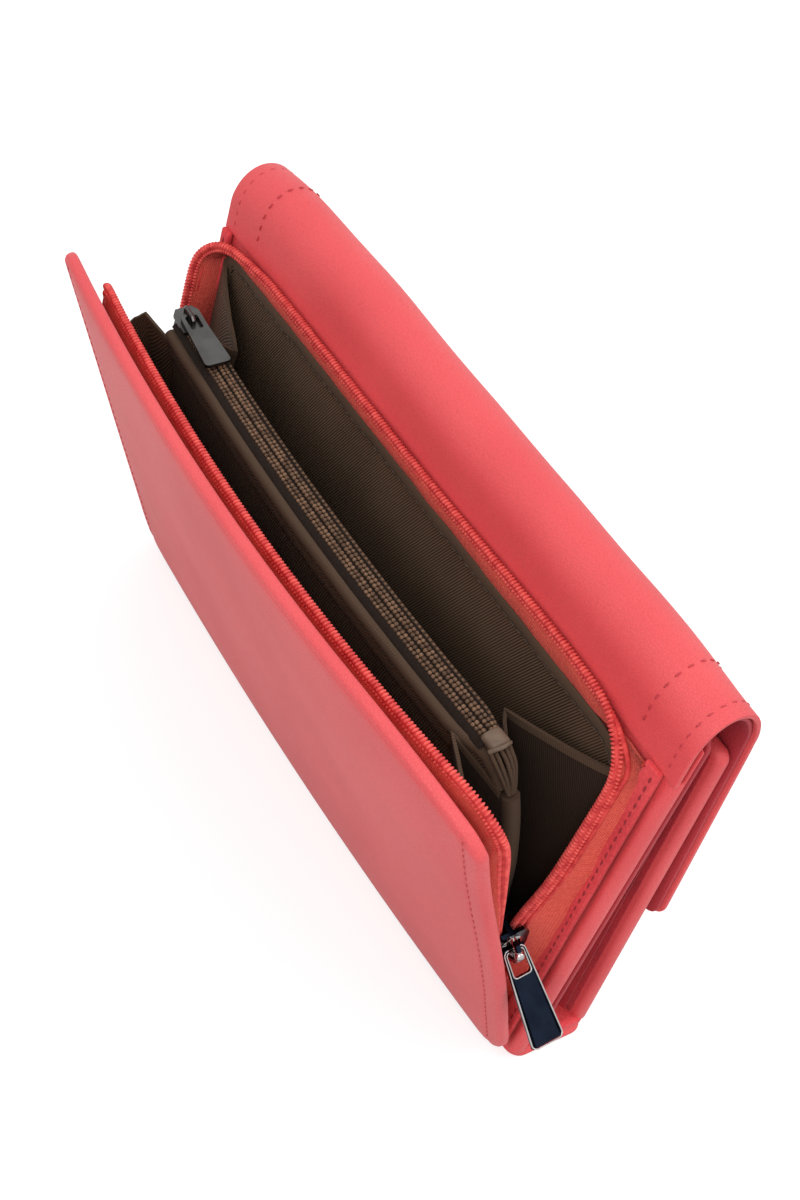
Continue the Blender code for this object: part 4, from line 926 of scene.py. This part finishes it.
def make_main_zip():
    """Both halves of the main zip. What rides on the shell gets its own copy of its mesh."""
    halves = [("wall_zip", *wall_lines(), "shell")]
    coil, seam = panel_lines()
    first = next(index for index, point in enumerate(seam) if point.z > 0.06)
    last = len(coil) - 1 - first
    for name, stretch, body in (("panel_zip_right", slice(0, first + 1), "shell"),
                                ("panel_zip_left", slice(last, None), "shell"),
                                ("panel_zip_top", slice(first, last + 1), "zip_panel")):
        halves.append((name, coil[stretch], seam[stretch], body))
    for name, coil, seam, body in halves:
        for piece, part in zip(zip_half(name, coil, seam, body), ("tape", "coil", "tape", "coil")):
            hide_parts(name.split("_")[0] + "_zip_" + part)
            if body == "shell":
                crumple(piece)


# Middle pocket


def pocket_half_at(z, sign=-1):
    """Half the pocket's length at a height. Its right end is drawn in towards the gathered top."""
    drawn = 0.004 * max(0, (z - 0.06) / 0.0285) ** 2 if sign > 0 else 0
    return 0.0765 - 0.0005 * (z - POCKET_LOW) / (POCKET_HIGH - POCKET_LOW) - drawn


def corner_drop(x):
    """How far the pocket's upper edge is pulled down towards its right end."""
    return 0.01 * ease(x, 0.063, 0.01)


def mouth_at(x):
    """How far the pocket's mouth still opens towards its gathered right end, from 1 down."""
    return 1 - 0.78 * ease(x, 0.056, 0.014)


def make_pocket_wall(face, sign):
    """A cloth wall of the pocket, with the turned hem under the zip."""
    foot_gap = 0.00095
    mouth, hem_mouth, hem_foot = (0.0031, 0.0033, 0.0952) if sign > 0 else (0.005, 0.0052, 0.0915)

    def place(u, v):
        z = 0.0133 + 0.0854 * v
        right, left = pocket_half_at(min(z, 0.0885), 1) - 0.0012, pocket_half_at(z) - 0.002
        x = (right + left) * u - left
        z -= corner_drop(x) * v ** 2
        bulge = foot_gap + (mouth - foot_gap) * math.sin(v * math.pi / 2) * mouth_at(x)
        return POCKET.at(x, sign * (bulge + ripple(x, z, 0.03, 0.0006, 13.0 + sign) * hump(v) * hump(u)), z)

    def hem_place(u, v):
        x = 0.143 * v - 0.074
        return POCKET.at(x, sign * (hem_mouth * mouth_at(x) + 0.0003 * hump(u)),
                         hem_foot + 0.0046 * u - corner_drop(x))

    name = f"pocket_{face}_cloth"
    wall = dress(sheet(name, 36, 20, place, (0.152, 0.086), CLOTH), TWILL, "pocket", f"pocket_{face}_wall")
    hem = sheet(name + "_hem", 4, 60, hem_place, (0.0046, 0.143), 0.0007, rounding=HEM_ROUNDING)
    dress(hem, TWILL, "pocket")
    cloth(wall, 0.152, "pocket_sewn_foot")


def make_pocket_tape(face, sign):
    """One tape of the pocket's zip."""
    reach = 0.0016 if sign > 0 else 0.0022

    def place(u, v):
        return POCKET.at(0.14 * v - 0.0755, sign * (0.0017 + reach * u),
                         POCKET_ZIP + 0.0003 * hump(u) - 0.001 * u)

    dress(sheet(f"pocket_{face}_tape", 4, 60, place, (0.0036, 0.151), CLOTH, rounding=0.00015), BROWN_TAPE,
          "pocket", "pocket_zip_tape_" + face)


def make_pocket_chain():
    """The lip beside the pocket's zip and its closed chain of two interlocked rows on a bed."""
    lip = [POCKET.at(x, -0.0046 * mouth_at(x) + ripple(x, 0, 0.02, 0.0003, 33.0), 0.0973 - corner_drop(x))
           for x in run(-0.0745, 0.07, 60)]
    cord("pocket_front_lip", lip, 0.0016, LIP_CLOTH, "pocket")

    def bed_place(u, v):
        return POCKET.at(0.139 * v - 0.0745, 0.004 * (u - 0.5), POCKET_ZIP - 0.0003)

    dress(sheet("pocket_chain_bed", 2, 60, bed_place, (0.004, 0.148), CLOTH), BROWN_TAPE, "pocket",
          "pocket_zip_coil", slot="brown_coil")
    line = [POCKET.at(x, 0, POCKET_ZIP) for x in run(-0.069, 0.063, 60)]
    unit = tooth("pocket_tooth", ((0.00074, (0.00054, 0.0005, 0.00048)),
                                  (-0.0003, (0.00055, 0.00058, 0.00056))))
    pitch = 0.00117
    rows = [Matrix.Translation((side * pitch / 4, side * 0.00108, 0.00025)) @ Matrix.Rotation(turn, 4, "Z")
            for side, turn in ((1, 0), (-1, math.pi))]
    frames = [place @ row for place in line_frames(line, POCKET.turned(UP), pitch) for row in rows]
    dress(smooth(repeat("pocket_chain_teeth", unit, frames), SMALL_ANGLE), BROWN_COIL, "pocket")


def make_pocket_stop():
    """The crimped stop at the chain's right end, with a lip round its outer edge."""
    half = 0.0025

    def place(x, y, z):
        share = (y / half) ** 2
        crown = (0.0004 - 0.0008 * share) * (z > POCKET_ZIP)
        return POCKET.at(x + 0.0004 * (1 - share) * (x > 0.0645), y, z + crown)

    stop = start_box("pocket_crimp_stop", (0.0626, -half, 0.0986), (0.0664, half, 0.101))
    cut_across(stop, SIDE, [0.0634, 0.0642, 0.065, 0.0657])
    cut_across(stop, OUT, [-0.0018, -0.0009, 0.0009, 0.0018])
    round_edges(stop, 0.0006, 3, 60)
    reshape(stop, place)
    lip = [POCKET.at(0.067 - 0.0008 * share ** 2, 0.0026 * share, 0.1001 - 0.0012 * abs(share) ** 3)
           for share in run(-1, 1, 16)]
    stop = join("pocket_crimp_stop", [stop, tube("pocket_stop_lip", lip, 0.00058)])
    dress(smooth(stop), STOP_METAL, "pocket", "pocket_zip_stop")


def make_pocket_ends():
    """The rolled bindings down the pocket's ends, the gathers over the right one and the pocket's foot."""
    for (side, sign), top in zip(ENDS, (0.0885, 0.0978)):
        points = [POCKET.at(sign * (pocket_half_at(z, sign) + ripple(z, 0, 0.012, 0.0004, 21.0)),
                            ripple(z, 0, 0.014, 0.0005, 23.0), z) for z in run(0.0136, top, 40)]
        binding = cord(f"pocket_{side}_binding", points, 0.0022, LIP_CLOTH, "pocket")
        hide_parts("pocket_binding_" + side)
    folds = []
    for index, spread in enumerate((-0.0023, -0.0012, 0.0, 0.0012, 0.0024)):
        line = []
        for share in run(0, 1, 12):
            x = 0.0662 + 0.0062 * share + 0.0014 * hump(share) * (1 - abs(spread) / 0.003)
            y = spread * (1 - 0.72 * share + 0.25 * hump(share)) + ripple(share, index, 0.4, 0.0003, 71.0)
            line.append(POCKET.at(x, y, 0.0986 - 0.0094 * share ** 1.4))
        folds.append(cord("pocket_gather_" + str(index), line, 0.00048, LIP_CLOTH, "pocket"))
    join("pocket_gathers", folds)

    def place(u, v):
        return POCKET.at(0.0765 * (2 * u - 1), 0, 0.0062 + 0.0072 * v)

    dress(sheet("pocket_sewn_foot", 30, 3, place, (0.153, 0.0072), 0.0006), TWILL, "pocket", "pocket_foot")


# Cloth gussets of the zip compartment

GUSSET_FOOT = 0.023


def make_cloth_gusset(face, side, sign, tip):
    """A folded cloth gusset from a wall to the pocket's end. tip is the x and z where its fold ends."""
    rear, right = face == "rear", sign > 0
    mouth = (0.0022 if rear else 0.0041) * (0.22 if right else 1)
    tall, inset = (0.066, 0.001) if right else (0.0725, 0.0034)

    def place(u, v):
        z = GUSSET_FOOT + tall * v
        share = min((z - POCKET_LOW) / (POCKET_HIGH - POCKET_LOW), 1)
        reach = 0.0012 + mouth * math.sin(share * math.pi / 2)
        height = (z - PANEL_HINGE[2]) / math.cos(math.radians(POCKET_LEAN))
        pocket_edge = POCKET.at(pocket_half_at(z, sign) - inset, reach if rear else -reach, height)
        if rear:
            wall_edge = WALL.at(0.0862 if right else 0.0908, -0.0016, GUSSET_FOOT + 0.08 * v)
        else:
            wall_edge = PANEL.at(0.08, 0.0014, GUSSET_FOOT + 0.072 * v)
        peak = (wall_edge + pocket_edge) / 2
        peak.x = 0.078 + (tip[0] - 0.078) * v ** 0.8
        peak.z = GUSSET_FOOT + (tip[1] - GUSSET_FOOT) * v
        outer = u <= 0.5
        share = 2 * u if outer else 2 * u - 1
        point = wall_edge.lerp(peak, share) if outer else peak.lerp(pocket_edge, share)
        slack = hump(share) * (0.0006 + 0.0014 * v) * (1 if outer else -0.4)
        point.x = sign * (point.x + slack + ripple(u, z, 0.018, 0.0006, 31.0 + sign) * hump(u))
        return point

    def hem_place(u, v):
        return place(u, 1 - 0.022 * (1 - v)) + UP * (0.0003 if v > 0.97 else 0)

    name = f"{face}_cloth_gusset_{side}"
    width = 2 * (place(0, 0.7) - place(0.5, 0.7)).length
    piece = sheet(name, 20, 24, place, (width, 0.078), LINING, even_offset=False)
    # The right gussets take the darker twill copy, whose darkness is painted shade
    dress(piece, SHADED_GUSSET_TWILL if right else TWILL, "shell", f"{face}_fabric_gusset_{side}")
    hem = sheet(name + "_hem", 20, 3, hem_place, (width, 0.0018), 0.0008, even_offset=False)
    dress(hem, LIP_CLOTH, "shell")
    cloth(piece, 0.078, "rear_wall_cover")
    for part in (piece, hem):
        crumple(part)


# Flap

TIP_ROUND = 0.0045


def flap_line(depth, steps):
    """The flap's line from root to tip, some depth inside its face, and its normals."""
    section = [WALL.at(0, depth - 0.0006, z) for z in (0.1101, 0.114)]
    for y, z in arc((0, 0), 1, 180, 0, 28):
        section.append(WALL.at(0, 0.009 + y * (0.0096 - depth), 0.119 + z * (0.012 - depth) - y * 0.0018))
    section += [FLAP.at(0, -depth, z) for z in run(0, -0.0695, 24)[1:]]
    line = even(section, steps + 1)
    return line, [along_line(line, index).cross(SIDE).normalized() for index in range(steps + 1)]


def sag(point):
    """Lowers the ends of the flap's crown a little, the left one more."""
    share = max(0, (abs(point.x) - 0.068) / 0.027) ** 2 * ramp(point.z, 0.112, 0.012)
    point.z -= share * (0.0034 if point.x < 0 else 0.002)
    return point


def make_flap_leather(name, depth, thick, half, look, nodes):
    """One leather of the flap, from the rear wall over the crown to the tip."""
    rows = 110
    line, normals = flap_line(depth, rows)
    whole = length_of(line)

    def place(u, v):
        index, left, reach = round(v * rows), whole * (1 - v), half
        if left < TIP_ROUND:
            reach -= TIP_ROUND - math.sqrt(max(TIP_ROUND ** 2 - (TIP_ROUND - left) ** 2, 0))
        x = reach * (2 * u - 1)
        calm = min(1.0, (half - abs(x)) / 0.008)
        swell = 0 if depth else ripple(x, v * whole, 0.028, 0.0005, 41.0) * calm - 0.0004 * (1 - calm) ** 2
        return sag(line[index] + SIDE * x + normals[index] * swell)

    piece = sheet(name, 56, rows, place, (2 * half, whole), thick, -1.0, 0.0004)
    clean(piece)
    dress(smooth(piece), look, None, *nodes)
    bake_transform(piece)


def make_flap():
    """The flap: its outer and inner leather, and its stitching."""
    make_flap_leather("flap_outer", 0.0, 0.0013, HALF, CORAL,
                      ("flap_crown_leather", "flap_front_leather", "flap_board"))
    make_flap_leather("flap_inner", 0.0014, 0.001, HALF - 0.0007, CORAL_INNER,
                      ("flap_crown_lining", "flap_lining"))
    line, normals = flap_line(-0.0001, 119)
    lines = [([sag(point + SIDE * (sign * x)) for point in line[first:last]], normals[first:last])
             for _, sign in ENDS for x, first, last in ((0.0914, 4, 117), (0.0809, 7, 66))]
    lines.append(([line[116] + SIDE * x for x in run(0.0905, -0.0905, 60)], normals[116]))
    threads = dress(stitches("flap_stitches", lines, 0.003, 0.0017, 0.0005), CORAL_THREAD, None)
    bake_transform(threads)


# Front panel, divider and their end gussets


def make_front_panel():
    """The front panel: padded leather with stitching and a suede lined inner side."""
    half, foot, top = 0.094, 0.0019, 0.112

    def place(x, y, z):
        edge = min(half - abs(x), top - z, z - foot)
        return FRONT.at(x, y + ripple(x, z, 0.03, 0.0004, 51.0) * ramp(edge, 0, 0.01), z)

    piece = slab("front_panel_cover", (-half, -0.004, foot), (half, 0, top), (0, 0.003), 0.0016, (20, 12),
                 place)
    dress(piece, CORAL, "front_panel", "front_panel_leather", "front_panel_board", "front_panel_magnet")

    def lining_place(u, v):
        return FRONT.at(0.0915 * (2 * u - 1), -0.0042, 0.005 + 0.105 * v)

    lining = sheet("front_panel_suede", 12, 10, lining_place, (0.183, 0.105), CLOTH, rounding=HEM_ROUNDING)
    dress(lining, SUEDE, "front_panel", "front_panel_lining")
    cloth(lining, 0.183, "front_panel_cover")
    lines = [([FRONT.at(x, 0.0001, z) for x, z in arch(0.0905, 0.1085, 0.003, 0.006)], FRONT.turned(OUT))]
    dress(stitches("front_panel_stitches", lines), CORAL_THREAD, "front_panel")


def make_card_slot(number):
    """One of the card slots on the divider, with a thumb notch."""
    low = 0.024 * number - 0.009

    def place(x, y, z):
        dip = 0.0035 * math.exp(-(x / 0.011) ** 4) * max(0, (z - low - 0.011) / 0.011)
        return DIVIDER.at(x, y, z - dip)

    strip = slab(f"card_pocket_{number}", (-0.075, 0.001, low), (0.075, 0.0016, low + 0.022), (0, 0), 0.0002,
                 (40, 4), place)
    dress(strip, CORAL_INNER, "divider", f"card_slot_{number}")


def make_divider():
    """The divider leaf with its card slots."""
    piece = slab("divider_cover", (-0.093, -0.0007, 0), (0.093, 0.0007, 0.1168), (0, 0.004), 0.0005, (16, 10),
                 DIVIDER.at)
    dress(piece, CORAL_INNER, "divider", "divider_leather")
    for number in (1, 2, 3):
        make_card_slot(number)
    out = DIVIDER.turned(OUT)
    lines = [([DIVIDER.at(sign * 0.0735, 0.0017, z) for z in run(0.016, 0.084, 68)], out) for _, sign in ENDS]
    lines += [([DIVIDER.at(x, 0.0008, z) for x, z in arch(0.09, 0.1138, 0.003, 0.006)], out)]
    dress(stitches("divider_stitches", lines, 0.003, 0.0021, 0.00045), CORAL_THREAD, "divider")


def face_height(leaf, y, z):
    """The y of a leaf's face at a world height."""
    local = Vector((0, y, z))
    for _ in range(3):
        local.z += z - (leaf.frame @ local).z
    return (leaf.frame @ local).y


def make_end_gusset(face, side, sign, rear, front):
    """A leather end gusset with its fold pointing inwards, between two leaves' faces."""

    def place(u, v):
        z = 0.0045 + 0.1025 * v
        first, second = face_height(*rear, z) + 0.0006, face_height(*front, z) - 0.0006
        fold = 1 - abs(2 * u - 1)
        x = 0.0902 - 0.0092 * math.sin(fold * math.pi / 2) + ripple(z, u, 0.02, 0.0005, 61.0) * fold
        return Vector((sign * x, first + (second - first) * u, z))

    piece = sheet(f"{face}_leather_gusset_{side}", 12, 20, place, (0.02, 0.1025), CLOTH)
    dress(piece, SUEDE, "shell", f"{face}_end_gusset_{side}")
    cloth(piece, 0.1025, "rear_wall_cover")


# Metal

PLATE_LENGTH, PLATE_HALF, PLATE_END, PLATE_THICK = 0.023, 0.0028, 0.00405, 0.0012
PLATE_CORNER, WINDOW_BAR, WINDOW_LENGTH = 0.0012, 0.00055, 0.006


def tapered(half_first, half_last, length, radius, begin):
    """A puller's outline along +X with round corners, closed."""
    end = begin + length
    corners = ((end - radius, half_last - radius, 90), (end - radius, radius - half_last, 0),
               (begin + radius, radius - half_first, -90), (begin + radius, half_first - radius, -180))
    line = [point for x, y, angle in corners for point in arc((x, y), radius, angle, angle - 90, 5)]
    return line + line[:1]


def make_main_puller(place):
    """The main puller: a slim glossy plate that widens to its end, with a large window and bright edges."""
    window = WINDOW_BAR / 2
    piece = start_box("main_puller_plate", (-0.00055, -PLATE_HALF, -PLATE_THICK / 2),
                      (0.02245, PLATE_HALF, PLATE_THICK / 2))
    cut_across(piece, SIDE, [0.0001, WINDOW_LENGTH + 0.0001])
    cut_across(piece, OUT, [WINDOW_BAR - PLATE_HALF, PLATE_HALF - WINDOW_BAR])

    def beside(corner):
        return 0 < corner.x < WINDOW_LENGTH + 0.0005

    def in_window(corner):
        return beside(corner) and abs(corner.y) < PLATE_HALF - 0.0004

    pick(piece, "polygons", lambda corners: all(map(in_window, corners)))
    bpy.ops.mesh.delete(type="FACE")
    leave()
    pick(piece, "edges", lambda ends: all(map(in_window, ends)))
    bpy.ops.mesh.bridge_edge_loops()
    bpy.ops.mesh.select_all(action="SELECT")
    bpy.ops.mesh.normals_make_consistent(inside=False)
    leave()
    for radius, outer in ((PLATE_CORNER, True), (0.0008, False)):
        bevel_where(piece, radius, 5, lambda ends, outer=outer: abs(ends[0].z - ends[1].z) > 0.001
                    and beside(ends[0]) != outer and abs(ends[0].y) > 0.002)
    widening = 0.446 / PLATE_LENGTH
    reshape(piece, lambda x, y, z: place @ Vector((x, y * (1 + widening * x), z)))
    dress(smooth(piece, 35), DARK_METAL, "main_puller", "main_zip_puller")

    radius = 0.0002
    height = (PLATE_THICK - radius) / 2
    bar = WINDOW_BAR
    outlines = (tapered(PLATE_HALF, PLATE_END, PLATE_LENGTH, PLATE_CORNER, -window),
                tapered(PLATE_HALF - bar, PLATE_HALF - bar * 0.8, WINDOW_LENGTH, PLATE_CORNER / 1.5, window))
    rims = [tube("main_puller_rims", [place @ Vector((x, y, height)) for x, y in outline], radius)
            for outline in outlines]
    dress(join("main_puller_rims", rims), BRIGHT_METAL, "main_puller")


def make_slider_bridge():
    """The main slider's round bridge: a dish, an arm over it and a knob."""
    dish = ball("slider_dish", (0.00065, 0.0033, 0.0036), segments=32, rings=16)
    dish.data.transform(CHAIN.frame @ Matrix.Translation((0.0025, 0, 0.0006)))
    arm = [CHAIN.at(0.0024 + 0.0036 * hump(share), 0, -0.003 * math.cos(math.pi * share))
           for share in run(0, 1, 16)]
    knob = ball("slider_knob", [0.00125] * 3, segments=24, rings=14)
    knob.data.transform(CHAIN.frame @ Matrix.Translation((0.006, 0, 0.0008)))
    bridge = join("slider_bridge", [dish, tube("slider_arm", arm, 0.00086, 4), knob])
    dress(smooth(bridge, 60), BRIGHT_METAL, "main_slider")


def finish_packed():
    """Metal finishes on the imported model's own sliders, puller, stop and magnet."""
    for look, names in ((DARK_METAL, ("main_zip_slider", "zip_bottom_stop")),
                        (GREY_METAL, ("pocket_slider", "pocket_puller", "flap_magnet"))):
        for name in names:
            for place in bpy.data.objects[name].material_slots:
                place.material = look


# Floor, lights and camera


def make_floor():
    """A pale floor that shows white but keeps the soft shadow."""
    floor = start("floor", bpy.ops.mesh.primitive_plane_add, size=6)
    finish = Finish("pale_floor", Roughness=0.9, Base_Color=(0.45, 0.45, 0.45, 1), Emission_Strength=1.0)
    camera_ray = finish.node("ShaderNodeLightPath", {}, {}, "Is Camera Ray")
    finish.feed({"Emission Color": finish.mix(camera_ray, (0.13, 0.13, 0.13, 1), (0.66, 0.66, 0.66, 1))})
    floor.data.materials.append(finish.material)


def make_lights():
    """Soft light from above and from the flap's side, and a white surrounding."""
    world = bpy.data.worlds.new("studio")
    bpy.context.scene.world = world
    world.use_nodes = True
    tree = world.node_tree
    path = tree.nodes.new("ShaderNodeLightPath")
    mix = tree.nodes.new("ShaderNodeMix")
    mix.data_type = "RGBA"
    mix.inputs[6].default_value = (0.98, 0.98, 0.98, 1)
    mix.inputs[7].default_value = (1, 1, 1, 1)
    tree.links.new(path.outputs["Is Camera Ray"], mix.inputs[0])
    tree.links.new(mix.outputs[2], tree.nodes["Background"].inputs["Color"])
    target = Vector((0, -0.02, 0.05))
    for name, place, size, power in (("key", (0.3, 0.42, 0.85), 0.7, 2.2),
                                     ("fill", (0.4, -0.8, 0.75), 0.9, 4)):
        data = bpy.data.lights.new(name, "AREA")
        data.shape, data.size, data.energy = "DISK", size, power
        light = link(name, data)
        light.location = place
        light.rotation_euler = (target - light.location).to_track_quat("-Z", "Y").to_euler()


def make_camera():
    """The camera, where the photograph was taken from."""
    data = bpy.data.cameras.new("camera")
    data.lens, data.sensor_width, data.sensor_fit, data.clip_start = 53.09, 36, "AUTO", 0.01
    camera = link("camera", data)
    right, down, forward = (Vector((0.52088, 0.80543, 0.28279)), Vector((0.69764, -0.21076, -0.68475)),
                            Vector((-0.49191, 0.55396, -0.67168)))
    camera.matrix_world = placed((0.214145, -0.24828, 0.358379), right, -down, -forward)
    bpy.context.scene.camera = camera


make_base()
make_rear_wall()
for side, sign in ENDS:
    make_wall_end(side, sign)
make_rear_lining()
make_zip_panel()
make_panel_lining()
make_compartment_foot()
make_main_zip()
for face, sign in FACES:
    make_pocket_wall(face, sign)
for face, sign in FACES:
    make_pocket_tape(face, sign)
make_pocket_chain()
make_pocket_stop()
make_pocket_ends()
for (side, sign), rear_tip, front_tip in zip(ENDS, ((0.0545, 0.0925), (0.067, 0.093)),
                                             ((0.0585, 0.0965), (0.079, 0.099))):
    make_cloth_gusset("rear", side, sign, rear_tip)
    make_cloth_gusset("front", side, sign, front_tip)
make_flap()
make_front_panel()
make_divider()
for side, sign in ENDS:
    make_end_gusset("rear", side, sign, (WALL, 0.0044), (DIVIDER, -0.0007))
    make_end_gusset("front", side, sign, (DIVIDER, 0.0007), (FRONT, -0.0045))
finish_packed()
make_main_puller(CHAIN.frame @ Matrix.Translation((0.0037, 0, 0)) @ Matrix.Rotation(math.radians(38), 4, "Y"))
make_slider_bridge()
make_floor()
make_lights()
make_camera()
bpy.context.scene.view_settings.view_transform = "Standard"

bpy.context.view_layer.update()
